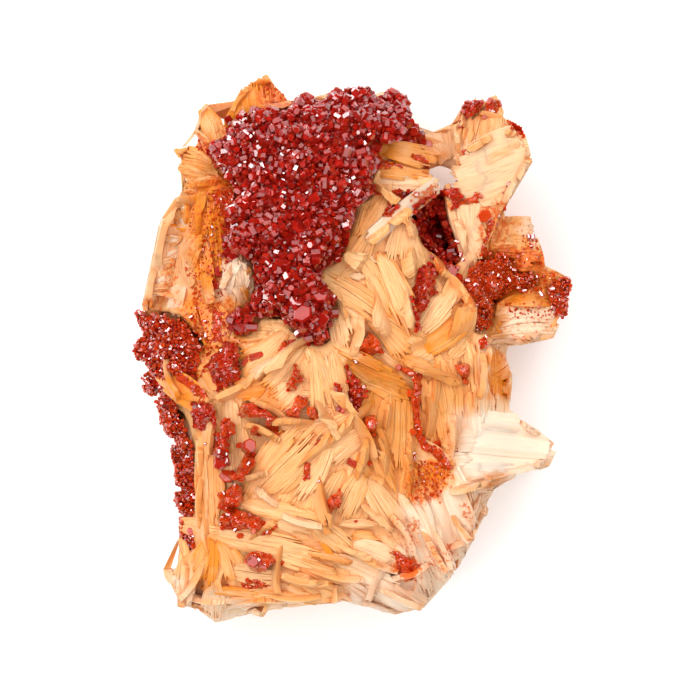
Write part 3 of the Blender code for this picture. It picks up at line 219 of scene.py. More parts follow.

# Stains of the barite, and painted shade where a zone says so: outline, soft edge, and how orange,
# cream, brown and dusted red it is inside. A strength below nothing takes that mark of the earlier ones away.
ZONES = [
    ([(-26, 44), (-22.5, 52), (-20, 54.5), (-16, 55), (-14, 50), (-17, 46), (-22, 44)], 3, (0.8, 0, 0, 0)),
    ([(-18, 47), (-19, 52), (-16, 54), (-11, 49), (-12, 46)], 2, (0.6, 0, 0, 0.85)),
    ([(-31, 38), (-26, 44), (-30, 50), (-25, 47), (-23, 44), (-27, 38)], 2, (0.6, 0, 0, 0.45)),
    ([(-30.8, 40), (-30.3, 41.8), (-29.5, 42.6), (-28.6, 41), (-28.6, 39.3), (-30, 39.3)], 0.6, (0.5, 0, 0, 1)),
    ([(-36, 40), (-28.3, 38), (-30, 35.8), (-33, 34.6), (-36, 35.6)], 1, (0.5, 0, 0, 0.15)),
    ([(-29, 37.8), (-30.4, 34.8), (-26.5, 34.6), (-26, 36.4)], 1, (0.2, 0, 1, 0)),
    ([(-33.4, 29.6), (-25.6, 30), (-25, 34.6), (-33.4, 34.4)], 2, (0.5, 0, 0.5, 0.1)),
    ([(-31.6, 32), (-25, 35), (-22, 27), (-22.6, 15), (-19.6, 9), (-25, 8), (-31, 12), (-33, 20)], 2.5,
     (0.95, 0, 0, 0.35)),
    ([(-28, 34), (-24, 36), (-22, 28), (-24, 24), (-27, 27)], 2, (0.8, 0, 0, 0.9)),
    ([(-35, 11), (-25, 11), (-20, 8), (-21, -1), (-29, -2), (-34, 3)], 3, (0.85, 0, 0, 0.5)),
    ([(-37, -5), (-32.5, -5.6), (-29.2, -10.8), (-34, -11.2), (-36.6, -8.5)], 1, (1, 0, 0.7, 0.1)),
    ([(-22.4, -4), (-19, -4.6), (-12.6, -11.6), (-14, -14), (-18, -10.6), (-21, -8.6)], 1.4, (0.85, 0, 0, 0.1)),
    ([(-30.6, -15), (-24, -15), (-24.8, -24), (-26.6, -34), (-31.6, -34)], 2.4, (0.5, 0, 0, 0.1)),
    ([(-31.4, -36.4), (-24.6, -36.8), (-21.6, -43), (-24.4, -48), (-31.6, -48), (-32.6, -42)], 2.2, (0.5, 0, 0, 0)),
    ([(4.6, 37.6), (4.8, 42.6), (14, 41.4), (19, 38.6), (17.6, 35.6)], 1.2, (0.75, 0, 0, 0.05)),
    ([(5, 44.4), (5, 48.6), (10.4, 48.4), (10.4, 44.8)], 0.8, (0.9, 0, 0, 0)),
    ([(-4, 24), (-1, 16.4), (8, 30), (6, 31.6)], 2, (0.42, 0, 0, 0)),
    ([(-1.4, 14), (4, 7.8), (14.4, 0), (12.8, 5), (4, 12.8)], 1.4, (0.35, 0, 0, 0)),
    ([(14, -1.4), (24.6, 4.4), (24.4, 8.6), (16, 2.8)], 1, (0.6, 0, 0, 0)),
    ([(4, -0.6), (13, -8), (13, -11), (1.6, -5.4), (-1, -3)], 1.6, (0.5, 0, 1.4, 0.1)),
    ([(9.6, -0.6), (18, -5), (16.6, -6.6), (9.4, -3.6)], 0.8, (0.5, 0, 0.5, 0)),
    ([(11.6, -10), (16, -10), (20, -24), (13.6, -21), (11, -16)], 1.8, (0.5, 0, 0, 0.15)),
    ([(2, -7), (14, -9), (15, -20), (11, -28), (4, -26), (1, -14)], 2.5, (0.6, 0, 0.3, 0)),
    ([(14, -3), (26, -3), (25, -12), (20.6, -22), (15, -16)], 2.5, (0.5, 0, 0.22, 0)),
    ([(12, 2), (24, 10), (26, 4), (20, -2), (14, -1)], 2, (0.3, 0, 0, 0)),
    ([(-12, -14), (0, -12), (-6, -24), (-14, -30), (-20, -28)], 2.5, (0.22, 0, 0, 0)),
    ([(12.4, -22), (20, -21.6), (20.6, -25), (17.4, -29.8), (12, -31), (10.6, -26.8)], 1.2, (0.9, 0, 0, 0.7)),
    ([(8.2, -39.8), (11, -41.2), (14.2, -42.6), (13.7, -44.8), (12, -46.4), (9.2, -45.2)], 0.9, (0.8, 0, 0, 1.1)),
    ([(7.6, -33.4), (13.4, -33.6), (14, -39.6), (8.6, -39.8)], 1.6, (0.35, 0, 0, 0.42)),
    ([(15, -38.6), (21, -39), (20.4, -43.6), (15, -44)], 1.4, (0.3, 0, 0, 0.4)),
    ([(21.6, -30.6), (24.6, -30.8), (24.2, -35), (21.6, -35)], 1, (0.3, 0, 0, 0.42)),
    ([(26.6, -0.4), (31.4, -0.6), (32, -9.8), (27.4, -9.6)], 1.4, (1, 0, 0, 0.25)),
    ([(22, 8), (29, 8), (33, 12), (33, 17), (24, 17)], 2, (0.85, 0, 0.2, 0.8)),
    ([(29.4, 19.4), (30.4, 27), (34, 26.4), (33.4, 19.4)], 1.2, (0.65, 0.1, 0, 0.3)),
    ([(33.4, 21.6), (33.4, 27), (37.6, 26.6), (37.4, 21)], 1.4, (0.2, 0.7, 0, 0.25)),
    ([(29.6, 15.8), (29.6, 20.4), (38.6, 20), (39.4, 15.8)], 1, (0.7, 0, 0.35, 0.95)),
    ([(29.4, 11.6), (29.6, 15.8), (42, 15.6), (41.6, 11.6)], 1, (0.85, 0, 0, 0.8)),
    ([(28.8, 8.4), (28.8, 12), (41.6, 12), (41.6, 8.4)], 1.2, (0.85, 0, 0, 0.3)),
    ([(30, 1.2), (30.6, 8), (43.6, 8.4), (43, 2)], 1.4, (0.1, 0.75, 0, 0.2)),
    ([(26.6, 2.6), (26.6, 9.6), (31.4, 9.6), (31, 2.6)], 1.4, (0.4, 0, 0.7, 0.1)),
    ([(25, 24), (25.6, 28), (31.4, 30), (30.6, 17), (26, 15.6)], 1.6, (0.55, 0, 0.1, 0.6)),
    ([(26.4, 37.6), (32.6, 41.4), (33.4, 39.6), (27.4, 36.4)], 1.6, (0.5, 0.4, 0, 0)),
    ([(21, 41), (22, 49), (28, 50.6), (29, 46), (27, 40)], 1.6, (0.4, 0.2, 0, 0.1)),
    ([(30.8, 45.4), (34, 43.9), (34.6, 41.8), (33, 41.8), (31.2, 43.6)], 0.8, (0.3, 0.3, 0, 1)),
    ([(19, 16), (19, 30), (21, 41), (25, 41.6), (35.6, 42.6), (35.6, 34), (30.4, 27), (25.6, 22), (25, 15.6)], 2,
     (0.12, 0.35, 0, 0)),
    ([(14, 33.6), (13, 43.6), (21, 44.6), (20.4, 33.6)], 1.2, (0.1, 0.35, 0, 0)),
    # Painted shade: the deep cleft is darkened by taking its cream away and laying on brown, with red dust.
    ([(12.4, 31), (16.4, 32.4), (19.6, 29.8), (18.4, 26.4), (20.6, 22), (22, 15.6), (17.6, 14.6),
      (15.6, 20), (12.6, 25)], 0.6, (0, -1, 0.6, 0.8)),
    ([(19.6, -11.6), (32, -11.8), (41.6, -18.6), (41.6, -22), (35, -26.6), (20.6, -27.6)], 2, (0, 1, 0, 0)),
    ([(26.4, -24.6), (31.6, -24.6), (31, -27.6), (27, -27.6)], 0.8, (0.4, 0, 0.8, 0.2)),
    ([(25, 2), (31, 2), (33, -6), (32, -12.6), (25.4, -12.6)], 2.4, (0.1, 0.35, 0, 0)),
    ([(10, -31), (20, -26), (27, -34), (21, -46), (15, -52), (6, -54.4), (-2, -51), (-1, -46), (9, -42)], 3,
     (0, 0.85, 0, 0)),
    # Painted shade: the brown on the side face below the wedge's lit rim; its cream and red dust are colour.
    ([(20.6, -24), (24.4, -27.6), (23.6, -36), (21.4, -43.6), (26, -38), (29.6, -30), (29.6, -26)], 1.6,
     (0.15, 0.7, 0.25, 0.05)),
    # Painted shade: the brown on the bottom rim; its cream is colour.
    ([(1.4, -47), (15.8, -46.8), (16, -50.6), (8, -54.4), (0, -51.4)], 1.6, (0, 0.9, 0.3, 0)),
    ([(-36, -44), (-36, -54), (-27, -56), (-18, -54), (-19, -49), (-29.6, -47.6)], 2, (0, 0.6, 0, 0)),
    ([(-42, 10), (-39, 23), (-34, 25), (-30, 20), (-31.6, 12), (-35, 9)], 2, (0.1, 0.3, 0.3, 0.05)),
    ([(-42.4, 6), (-42.4, 10.4), (-38.6, 10.6), (-36, 18.6), (-34.4, 18.6), (-35, 10), (-38, 7)], 1.4,
     (0.3, 0, 0.5, 0.4)),
    ([(-26.8, 10), (-26, 18.6), (-21, 18.8), (-18.6, 13), (-21, 9.6)], 1.2, (-0.85, 0.7, 0, -1)),
]

# Patches of crystals on the blades: outline and grade.
GRADES = {
    # Height and facet size of the grown-together mass, how orange it is, distance between the crystals
    # that stand on it, their smallest, largest and usual radius, and how far they stand out.
    "block": (0.55, 1.1, 0.62, 1.7, (0.3, 0.75, 0.48), (0.1, 0.5)),
    # The deep grade is less orange, so deeper red: partly the crystals' colour, partly painted shade of the dark
    # pockets.
    "deep": (0.7, 0.8, 0.2, 0.85, (0.25, 0.62, 0.38), (0.1, 0.6)),
    "grain": (0.35, 0.7, 0.62, 1.0, (0.18, 0.5, 0.3), (0.05, 0.35)),
    "dust": (0.0, 0.6, 0.75, 1.2, (0.1, 0.4, 0.14), (0.02, 0.2)),
    "smooth": (0.65, 1.7, 0.88, 2.6, (0.3, 0.7, 0.5), (0.0, 0.3)),
}
PATCHES = [
    # Left: over the orange sheaf and round the left druse.
    ([(-24.6, 1.6), (-22.4, 0.8), (-22.2, -2.6), (-21.8, -6), (-24, -7), (-26.2, -8.2), (-27.6, -5.5),
      (-28.6, -3), (-26.6, -1)], "deep"),
    ([(-31.5, -10.4), (-27.2, -10.8), (-26.6, -14), (-26.8, -17.2), (-29, -16.8), (-31.2, -15)], "deep"),
    ([(-26.6, -17), (-24, -16.6), (-24.2, -20), (-24, -23), (-26.6, -23.4), (-27, -20)], "deep"),
    ([(-25.5, -14), (-24, -13.5), (-22.7, -15), (-22.8, -16.8), (-24.2, -17.4), (-25.6, -17)], "block"),
    ([(-34, -4.6), (-30.4, -6.6), (-28, -9.4), (-29, -11), (-31, -11.2), (-31, -8.6), (-34.6, -6)], "grain"),
    ([(-27.4, 7.6), (-25.6, 7.4), (-25.4, 1.6), (-27.2, 1.4)], "grain"),
    ([(-33, 5), (-31, 3.4), (-29.4, 0), (-30.4, -6), (-28, -4), (-27.4, 2), (-30, 7), (-33, 8)], "dust"),
    ([(-31, 29), (-24, 33), (-22, 24), (-24, 15), (-26, 8), (-31, 9), (-33, 18)], "dust"),
    ([(-31.6, 9), (-25.6, 8), (-21.6, 3), (-23, -1), (-28.6, 0), (-31.6, 4)], "dust"),
    ([(-27.4, 30.6), (-23.6, 32), (-22, 27), (-24.4, 24.6), (-26, 27)], "grain"),
    ([(-30.8, 40), (-30.3, 41.8), (-29.5, 42.6), (-28.6, 41), (-28.6, 39.3), (-30, 39.3)], "dust"),
    ([(-17, 49), (-17.6, 52), (-15.6, 53), (-12, 49.6), (-13, 47.6)], "dust"),
    # Round the fans below the tongue.
    ([(-21.4, -10.6), (-17.5, -10.6), (-16.4, -12.2), (-15, -13.4), (-13.4, -12.6), (-12.8, -13.4), (-14.2, -14),
      (-14.2, -16.5), (-15.4, -18), (-16.2, -17), (-17, -16.4), (-16.6, -13.6), (-20, -13.4), (-21.2, -13.6),
      (-22.3, -13)], "block"),
    ([(-20, -17), (-19.6, -15.6), (-18.2, -15.2), (-17.4, -15.8), (-17.6, -17.2)], "grain"),
    ([(-18.8, -19.6), (-19, -23), (-21.4, -26.2), (-23.4, -25.4), (-21.6, -22), (-20.6, -20)], "block"),
    ([(-23.4, -26.6), (-21.6, -27), (-21.2, -30), (-24, -32.4), (-26.4, -31.4), (-25.6, -29)], "block"),
    ([(-24.6, -33), (-23, -31.5), (-21.5, -31.8), (-19, -33), (-17, -34), (-15, -35), (-15.6, -36.5),
      (-19.3, -37), (-20, -35.4), (-22.3, -35.9), (-26, -35.6), (-26, -33.8)], "block"),
    ([(-20.9, -41), (-19.6, -39.8), (-17.5, -40.1), (-16, -40.9), (-13.8, -42.1), (-16, -42.5), (-16.8, -44),
      (-18.5, -44.2), (-19.7, -43.7), (-20.7, -42.4)], "block"),
    ([(-22, -46.4), (-20.5, -45.5), (-18.3, -45.7), (-15.8, -46.9), (-19, -47.7), (-21, -47.5)], "grain"),
    ([(-10.6, -9), (-8.4, -9.4), (-8.6, -11), (-10, -12), (-10.2, -13.8), (-12, -13.6), (-13, -12.6),
      (-11.8, -11.8)], "smooth"),
    ([(-8.6, -11.4), (-7.1, -11.4), (-6.3, -13.4), (-7.5, -14.4), (-8.6, -13)], "smooth"),
    ([(-10.9, -2.9), (-10.3, -4.5), (-9.2, -5.8), (-9.8, -6.7), (-11.2, -6.6), (-10.6, -8), (-12, -8.3),
      (-12.8, -7.4), (-11.4, -4.6)], "grain"),
    ([(-14.4, -0.2), (-13, 1.8), (-12, 0.8), (-12.6, 0), (-13.8, -0.8)], "smooth"),
    ([(-9.2, -22.2), (-8, -22.2), (-8, -25.6), (-9.2, -25.6)], "grain"),
    # Centre and right.
    ([(-4.8, -30), (-4, -28.8), (-3, -28.6), (-2.2, -27.2), (-1.8, -28.4), (-2, -29.4), (-1.7, -30),
      (-2.2, -31.4), (-3.2, -31.4), (-4, -32.8), (-4.8, -33)], "smooth"),
    ([(2.7, -13.4), (4.7, -12.8), (5.1, -14), (5, -15.5), (4.5, -17.2), (3.5, -16.4), (2.4, -14.8)], "smooth"),
    ([(-1, -3), (0.3, -5), (3.4, -8.3), (2.4, -10), (1.4, -12.3), (0.2, -12), (-0.4, -8)], "deep"),
    ([(-3.2, -6.8), (-2.1, -6.8), (-1.5, -12.8), (-2.5, -12.2)], "deep"),
    ([(1.1, 2.8), (1.9, 1.4), (2.6, 1.6), (3.2, 2.4), (3.4, 3.6), (4.4, 2.9), (5.4, 1.9), (6.1, 0.5), (6.6, -0.7),
      (4.5, -1.1), (2.4, -1.3), (1.2, -0.2)], "smooth"),
    ([(20.5, -3.2), (21.8, -2.8), (23.6, -3.1), (23.5, -4.8), (22.5, -6.9), (21.8, -5.6), (21, -4.4)], "smooth"),
    ([(8.8, -3.2), (11, -3.6), (13.5, -4.8), (14.2, -8), (13.4, -11.5), (13.8, -15), (14.4, -18), (16, -19.2),
      (17.6, -18.2), (18.4, -20.5), (20.2, -24), (18.6, -23.6), (16, -20.8), (14, -19.8), (12.6, -17), (12.4, -13),
      (11.8, -10), (12.4, -7), (12, -5.4), (10.4, -4.8)], "block"),
    ([(11.6, -19.4), (12.6, -19.6), (12, -23.2), (11.2, -23)], "grain"),
    ([(15.8, 17), (17.7, 15.6), (16.7, 13.5), (16.7, 11), (15.6, 9.8), (14.6, 8), (13.4, 6.3), (13.8, 4),
      (15.3, 4.6), (12.6, 3.4), (12.6, 6), (11.8, 8.5), (11.8, 11), (12.8, 13), (13.4, 16)], "deep"),
    ([(8, 26), (6.2, 26), (8.6, 31.2), (11.4, 31.2)], "deep"),
    ([(4.2, 30.4), (4.6, 31.2), (13, 31.2), (13, 30.4)], "grain"),
    ([(2.8, 38.3), (5.5, 38.6), (6.5, 37.2), (8.5, 36.9), (10.2, 36), (7, 35.6), (3.8, 35.8)], "grain"),
    ([(11.8, 38.2), (13.8, 38.4), (15.2, 37.2), (15.6, 35.8), (14.6, 35.8), (14.2, 36.8), (12.2, 37.4)], "grain"),
    ([(12.8, 28.6), (17, 31.4), (21, 32), (22.2, 30), (20.2, 27), (19, 28), (17, 29.4), (14, 28)], "deep"),
    ([(13.4, 22.6), (12, 25.4), (12.6, 28.4), (13.8, 28), (13.2, 25.6), (14.6, 22.6), (16.6, 20), (19, 17.4),
      (21.2, 17), (21.4, 15.8), (18.4, 15.6), (15.6, 18.6)], "deep"),
    ([(20, 28.2), (23.5, 30.2), (24.5, 31), (25.8, 30.6), (25.4, 29), (23.5, 28.8)], "smooth"),
    ([(27.4, 25.4), (29, 25.2), (28.2, 22.9), (27.4, 21.4), (26.8, 20.4), (27.6, 19), (26.4, 17.6), (25.6, 15.4),
      (24.8, 16.6), (25.6, 18.8), (26, 21), (26.8, 22.6)], "grain"),
    ([(30, 29.8), (30.9, 32.8), (31.9, 32.8), (31, 29.8), (30.6, 27.4), (29.3, 27.4)], "grain"),
    ([(21.6, 43.2), (21.6, 46.2), (22.4, 48.6), (24, 49.2), (26.5, 49.4), (25.8, 48), (24.8, 46.8), (22.6, 45.4),
      (22, 43.2)], "deep"),
    ([(26, 45.6), (26.8, 48.6), (27.6, 50), (29.4, 49), (29.2, 47.2), (27.4, 46.2)], "block"),
    ([(22.2, 38.2), (24, 40), (27, 41), (27.2, 41.7), (24, 41), (21.8, 39)], "grain"),
    ([(31, 45.3), (33.8, 43.8), (34.4, 41.9), (33.4, 41.8), (31.4, 43.8)], "grain"),
    ([(22, 13.6), (24.6, 14.4), (29, 14.6), (30, 10.4), (27, 9.4), (24.6, 8), (22, 9.2)], "grain"),
    ([(23.6, 8.2), (25, 7.8), (26.6, 4.6), (25.2, 5)], "grain"),
    ([(25.4, 0), (27, 0.2), (27, 2.2), (25.4, 2)], "grain"),
    ([(30.4, 16), (30.6, 19.6), (38.4, 19.4), (38.8, 16.4)], "dust"),
    ([(30, 12), (30, 15.4), (41, 15.2), (41, 12)], "dust"),
    ([(34.2, 20), (34.2, 23), (37, 22.6), (37.2, 20)], "dust"),
    ([(31, 6.2), (31, 9.4), (41.6, 9.4), (41.6, 6.2)], "dust"),
    ([(12.6, -22.4), (19.6, -22), (20, -25), (17.2, -29.2), (12.6, -30.2), (11, -27)], "dust"),
    ([(8.6, -40), (11, -41.4), (13.8, -42.8), (13.4, -44.6), (12, -46), (9.4, -45)], "grain"),
    ([(19, -18.8), (21.6, -18.8), (21.6, -20.4), (20.4, -20.6)], "dust"),
]

# Crystals that stand by themselves: place, radius, stand over the blades, lean, and how orange they are.
LONE_CRYSTALS = [
    # The tongue of the main cluster.
    ((-6.0, 10.6), 1.5, 0.7, (-0.05, 0.22), 0.0), ((-5.0, 8.4), 1.5, 0.6, (0.5, -0.1), 0.0),
    ((-5.6, 5.8), 1.4, 0.6, (0.3, -0.5), 0.0), ((-9.5, 7.0), 1.9, 1.2, (-0.1, 0.2), 0.0),
    ((-12.5, 6.5), 1.4, 0.6, (-0.25, 0.2), 0.0), ((-8.0, 3.5), 1.5, 0.4, (0.0, -0.6), 0.0),
    ((-5.5, 3.0), 1.3, 0.7, (0.0, 0.1), 0.05), ((-10.0, 24.0), 1.7, 0.8, (0.1, -0.1), 0.0),
    ((-7.6, 9.4), 1.4, 0.9, (-0.4, 0.3), 0.0), ((-10.6, 9.6), 1.5, 0.6, (0.2, 0.4), 0.0),
    # The top lobe and its rim.
    ((1.0, 50.6), 1.0, 1.2, (0.2, 0.5), 0.0), ((4.5, 49.6), 1.2, 1.2, (0.1, 0.3), 0.0),
    ((7.8, 51.0), 1.2, 1.4, (0.2, 0.4), 0.0), ((9.6, 48.8), 0.9, 1.2, (0.5, 0.2), 0.0),
    ((12.5, 43.0), 1.0, 1.0, (0.3, 0.0), 0.1), ((14.2, 41.2), 1.0, 0.9, (0.4, 0.0), 0.1),
    ((6.4, 52.2), 0.9, 0.9, (0.0, 0.8), 0.1), ((-16.0, 46.5), 1.3, 0.7, (0.0, 0.4), 0.1),
    # Blocks on the blades.
    ((19.6, 15.4), 1.7, 0.9, (0.1, 0.2), 0.1), ((21.5, 14.2), 0.9, 0.6, (0.3, 0.0), 0.3),
    ((26.5, 26.3), 1.4, 0.9, (0.0, 0.0), 0.7), ((-25.7, -22.4), 1.4, 1.0, (0.05, 0.1), 0.1),
    ((-19.8, -18.8), 1.4, 0.9, (0.2, 0.2), 0.4), ((-22.0, -19.0), 0.7, 0.5, (0.0, 0.0), 0.8),
    ((-24.6, -25.0), 1.5, 0.9, (-0.2, 0.2), 0.5), ((-19.4, -41.8), 1.3, 0.9, (-0.1, 0.3), 0.2),
    ((11.8, -8.8), 0.9, 0.6, (0.0, 0.0), 0.9), ((12.2, -16.4), 0.7, 0.5, (0.0, 0.0), 0.9),
    ((3.6, -22.5), 0.6, 0.4, (0.0, 0.0), 0.8), ((-32.0, -36.3), 0.8, 0.6, (-0.3, 0.0), 0.5),
    ((43.0, 11.4), 1.1, 0.8, (0.5, 0.1), 0.3), ((42.0, 7.6), 1.0, 0.7, (0.6, -0.1), 0.3),
    ((-21.9, -36.9), 0.7, 0.4, (0.0, 0.0), 0.7), ((-23.2, 18.4), 1.1, 0.8, (0.1, 0.5), 0.0),
    ((-26.4, 15.4), 1.0, 0.9, (-0.4, 0.2), 0.0), ((-27.2, 12.6), 0.9, 0.7, (-0.5, 0.0), 0.1),
    ((28.0, 48.4), 1.1, 0.9, (0.1, 0.4), 0.3), ((15.5, 40.7), 0.9, 0.7, (0.2, 0.2), 0.6),
]
# Prisms that lie on the blades: one end, the other end, radius, how orange they are.
LYING_CRYSTALS = [
    ((-20.0, -1.8), (-17.5, -0.8), 0.75, 0.4), ((-18.2, -4.4), (-17.0, -3.4), 0.5, 0.5),
    ((-0.6, -22.0), (2.4, -23.8), 0.7, 0.35), ((-6.9, -19.0), (-6.0, -18.0), 0.4, 0.5),
    ((30.3, 30.5), (31.5, 32.5), 0.55, 0.7), ((-18.0, 47.6), (-15.6, 48.0), 0.8, 0.0),
    ((-19.5, 44.3), (-16.4, 44.6), 0.7, 0.0), ((-15.0, 43.0), (-13.0, 41.5), 0.6, 0.0),
    ((-18.8, 36.4), (-18.6, 34.0), 0.6, 0.0), ((-21.4, -3.2), (-20.2, -1.6), 0.5, 0.5),
    ((-24.8, -46.8), (-23.4, -47.2), 0.4, 0.7), ((0.7, -34.2), (1.2, -33.8), 0.3, 0.8),
]
# The pale row of crystal ends at the tongue's foot.
TONGUE_ROW = dict(first=(-11.8, 1.0), last=(-5.9, 1.6), crystals=8, radius=0.55)
# The cleft and the gap that goes right through between the plate and the great fin stay open.
CLEFT = [(13, 31), (16.4, 32), (19.6, 29.8), (18.4, 26.4), (20.6, 22), (22, 15.6), (17.6, 14.6),
         (15.6, 20), (12.6, 25)]
THROUGH_GAP = [(15.7, 35.9), (18.4, 36.1), (19.7, 34), (21.4, 33), (20.9, 32.1), (19.1, 32), (17, 34)]
GAP_MIDDLE = (18.6, 34.2)
# The brightest direction of each lamp's mirror image, seen from above.
SHEEN_WAY = Vector((-0.08, 0.2, 0.97))
GLINTS = (Vector((-0.26, 0.26, 0.93)), Vector((0.195, 0.318, 0.928)), Vector((-0.34, -0.189, 0.921)))
# Small crystals that mirror a lamp.
SHINY_PLACES = [
    (-19, 42.3), (-23.2, 44.2), (-21.2, 45.2), (-23.5, 38), (-20.7, 36.6), (-12.3, 38.8), (-13.5, 38), (-12, 37.1),
    (-22.8, 35), (-21.5, 31.2), (-19.8, 30.2), (-19.1, 32.4), (-11.2, 33.7), (-12, 44), (-16.3, 17), (-9, 13.5),
    (-6.3, 41.5), (-13, 30.5), (0.8, 43), (-0.5, 46), (2.3, 46.5), (4.4, 37.8), (-1.5, 35), (-0.2, 32.8), (3.7, 42),
    (-27.5, 22.4), (-24, 22.4), (-27.5, 24), (-24, 28), (-29.3, 19.5), (-28.3, 14.4), (-28.5, 12.5), (-31.7, 6.3),
    (-28.8, 5.5), (-28.7, 2.8), (-36.2, 3.8), (-39, 1.2), (-38.3, -1.4), (-33.5, 0.4), (-33.4, -4.4), (-38, -7.6),
    (-39.5, -9.5), (-29.8, -11.3), (-27.8, 38.9), (-27.5, 38.3), (-26, 38), (-25.8, 36.4), (32.6, 15.8),
    (31.6, 13.7), (35.3, 14.8), (35.4, 13.3), (34.5, 11.6), (37.2, 14.5), (38, 11), (40.4, 12), (40.6, 8.3),
    (35.5, 22.4), (36.3, 22.4), (36, 20.5), (22.7, 11.5), (22.3, 10.3), (24.6, 12.7), (23, 13.5), (26.8, 2.4),
    (-6.3, -26), (1, -2.5), (-23.3, -24.4), (-22.8, -26.7), (-25, -28.4), (-20.1, -22.6), (-26, -20.2),
    (-24.4, -20.7), (-28.8, -18.7), (-24.2, -32.5), (-25.7, -34.5), (-22.7, -35.6), (-16.6, -36.2), (-18.1, -41.5),
    (-13.9, -14.7), (12.3, -21.6), (15, 28), (15.7, 21.7), (21, 21.3), (21.8, 18.8), (22.3, 17.7),
]
# Lamps: name, place, size, brightness, and whether the crystals mirror them.
LAMPS = [
    ("key", (-0.8, 0.8, 1.2), (0.5, 0.5), 9.0, True), ("back", (0.55, 0.9, 1.1), (0.35, 0.35), 6.0, True),
    ("left", (-0.9, -0.5, 1.0), (0.35, 0.35), 6.0, True),
    ("sheen_back", (0.1, 0.9, 1.55), (2.2, 0.8), 1.2, True),
    ("sheen_left", (-0.9, -0.1, 1.55), (0.8, 1.3), 1.2, True),
    ("top", (0, 0, 1.8), (4.0, 4.0), 1.15, False),
]


class SpecimenColours(bpy.types.PropertyGroup):
    peach: FloatVectorProperty(
        name="Peach", description="Body colour of the barite", subtype="COLOR", size=4,
        default=(0.93, 0.46, 0.165, 1.0), min=0.0, max=1.0)
    light: FloatVectorProperty(
        name="Light peach", description="Paler barite blades", subtype="COLOR", size=4,
        default=(0.97, 0.63, 0.33, 1.0), min=0.0, max=1.0)
    cream: FloatVectorProperty(
        name="Cream", description="White barite of the fins and the wedge", subtype="COLOR", size=4,
        default=(0.96, 0.77, 0.59, 1.0), min=0.0, max=1.0)
    orange: FloatVectorProperty(
        name="Orange", description="Stained blades", subtype="COLOR", size=4,
        default=(0.86, 0.27, 0.018, 1.0), min=0.0, max=1.0)
    # Brown is laid on as a stain, and also as painted shade in some zones and in the shade coat.
    brown: FloatVectorProperty(
        name="Brown", description="Brown stain", subtype="COLOR", size=4,
        default=(0.50, 0.19, 0.05, 1.0), min=0.0, max=1.0)
    groove: FloatVectorProperty(
        name="Groove", description="Thin lines between the blades", subtype="COLOR", size=4,
        default=(0.58, 0.19, 0.03, 1.0), min=0.0, max=1.0)
    red: FloatVectorProperty(
        name="Red", description="Body colour of the vanadinite", subtype="COLOR", size=4,
        default=(0.55, 0.016, 0.008, 1.0), min=0.0, max=1.0)
    # Dark red is also mixed in towards each crystal's foot as painted shade.
    dark_red: FloatVectorProperty(
        name="Dark red", description="Deep crystals", subtype="COLOR", size=4,
        default=(0.22, 0.004, 0.002, 1.0), min=0.0, max=1.0)
    orange_red: FloatVectorProperty(
        name="Orange red", description="Small thin crystals", subtype="COLOR", size=4,
        default=(0.72, 0.078, 0.006, 1.0), min=0.0, max=1.0)


class SpecimenSizes(bpy.types.PropertyGroup):
    blade_pitch: FloatProperty(
        name="Blade pitch", description="Middle distance between blades", unit="LENGTH",
        subtype="DISTANCE", default=0.00031, min=0.0002, max=0.002, precision=5)
    filler_spacing: FloatProperty(
        name="Filler spacing", description="Distance between small sheaves on the crown", unit="LENGTH",
        subtype="DISTANCE", default=0.0036, min=0.001, max=0.02, precision=5)
    flank_spacing: FloatProperty(
        name="Flank spacing", description="Distance between sheaves on the sides", unit="LENGTH",
        subtype="DISTANCE", default=0.0048, min=0.001, max=0.02, precision=5)
    crystal_spacing: FloatProperty(
        name="Crystal spacing", description="Distance between the small crystals of the crusts", unit="LENGTH",
        subtype="DISTANCE", default=0.00058, min=0.0004, max=0.01, precision=5)
    seed: IntProperty(name="Seed", description="Start of the random draws", default=5, min=0)


class SpecimenStage(bpy.types.PropertyGroup):
    floor_size: FloatProperty(
        name="Floor size", description="Side of the square floor", unit="LENGTH",
        subtype="DISTANCE", default=6.0, min=0.5)
    glow: FloatProperty(name="Glow", description="Light that the table gives off", default=0.22, min=0.0)
    lens: FloatProperty(name="Lens", description="Focal length in millimetres", default=250.0, min=20.0)
    field: FloatProperty(
        name="Field", description="Width of the picture at the stone's rim", unit="LENGTH",
        subtype="DISTANCE", default=0.140, min=0.05)


STAINS_AND_SHADE = ("orange", "cream", "brown", "red")
MARKS = ("tone", "groove", "grain_u", "grain_v") + STAINS_AND_SHADE
BLADE_EDGE = math.radians(52)


class Pile:
    """Gathers many small closed shapes, with marks on their points, into one mesh piece."""

    def __init__(self):
        self.points = []
        self.faces = []
        self.marks = {name: [] for name in MARKS}
        self.count = 0

    def add(self, points, faces, **marks):
        points = np.asarray(points, dtype=float)
        self.faces.extend(tuple(self.count + corner for corner in face) for face in faces)
        self.points.append(points)
        self.count += len(points)
        for name in MARKS:
            self.marks[name].append(np.broadcast_to(np.asarray(marks.get(name, 0.0), dtype=float), len(points)))

    def piece(self, name, material, smooth=False):
        points = np.concatenate(self.points)
        mesh = bpy.data.meshes.new(name)
        mesh.from_pydata(points, [], self.faces)
        marks = {mark: np.concatenate(values) for mark, values in self.marks.items()}
        if smooth:
            mesh.shade_smooth()
            mesh.set_sharp_from_angle(angle=BLADE_EDGE)
            for mark, stain_and_shade in stains_and_shade_at(points).items():
                marks[mark] = np.clip(np.maximum(marks[mark], stain_and_shade), 0, 1)
        return mark_and_link(mesh, name, marks, material)


def mark_and_link(mesh, name, marks, material):
    for mark, values in marks.items():
        mesh.attributes.new(mark, "FLOAT", "POINT").data.foreach_set("value", np.asarray(values, dtype=float))
    mesh.materials.append(material)
    mesh.update()
    thing = bpy.data.objects.new(name, mesh)
    bpy.context.scene.collection.objects.link(thing)
    return thing


def settle(piece, slot, *nodes):
    """Fixes a finished piece to the stone and hides the solids that it stands for."""
    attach(piece, ROOT)
    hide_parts(*nodes)
    return piece
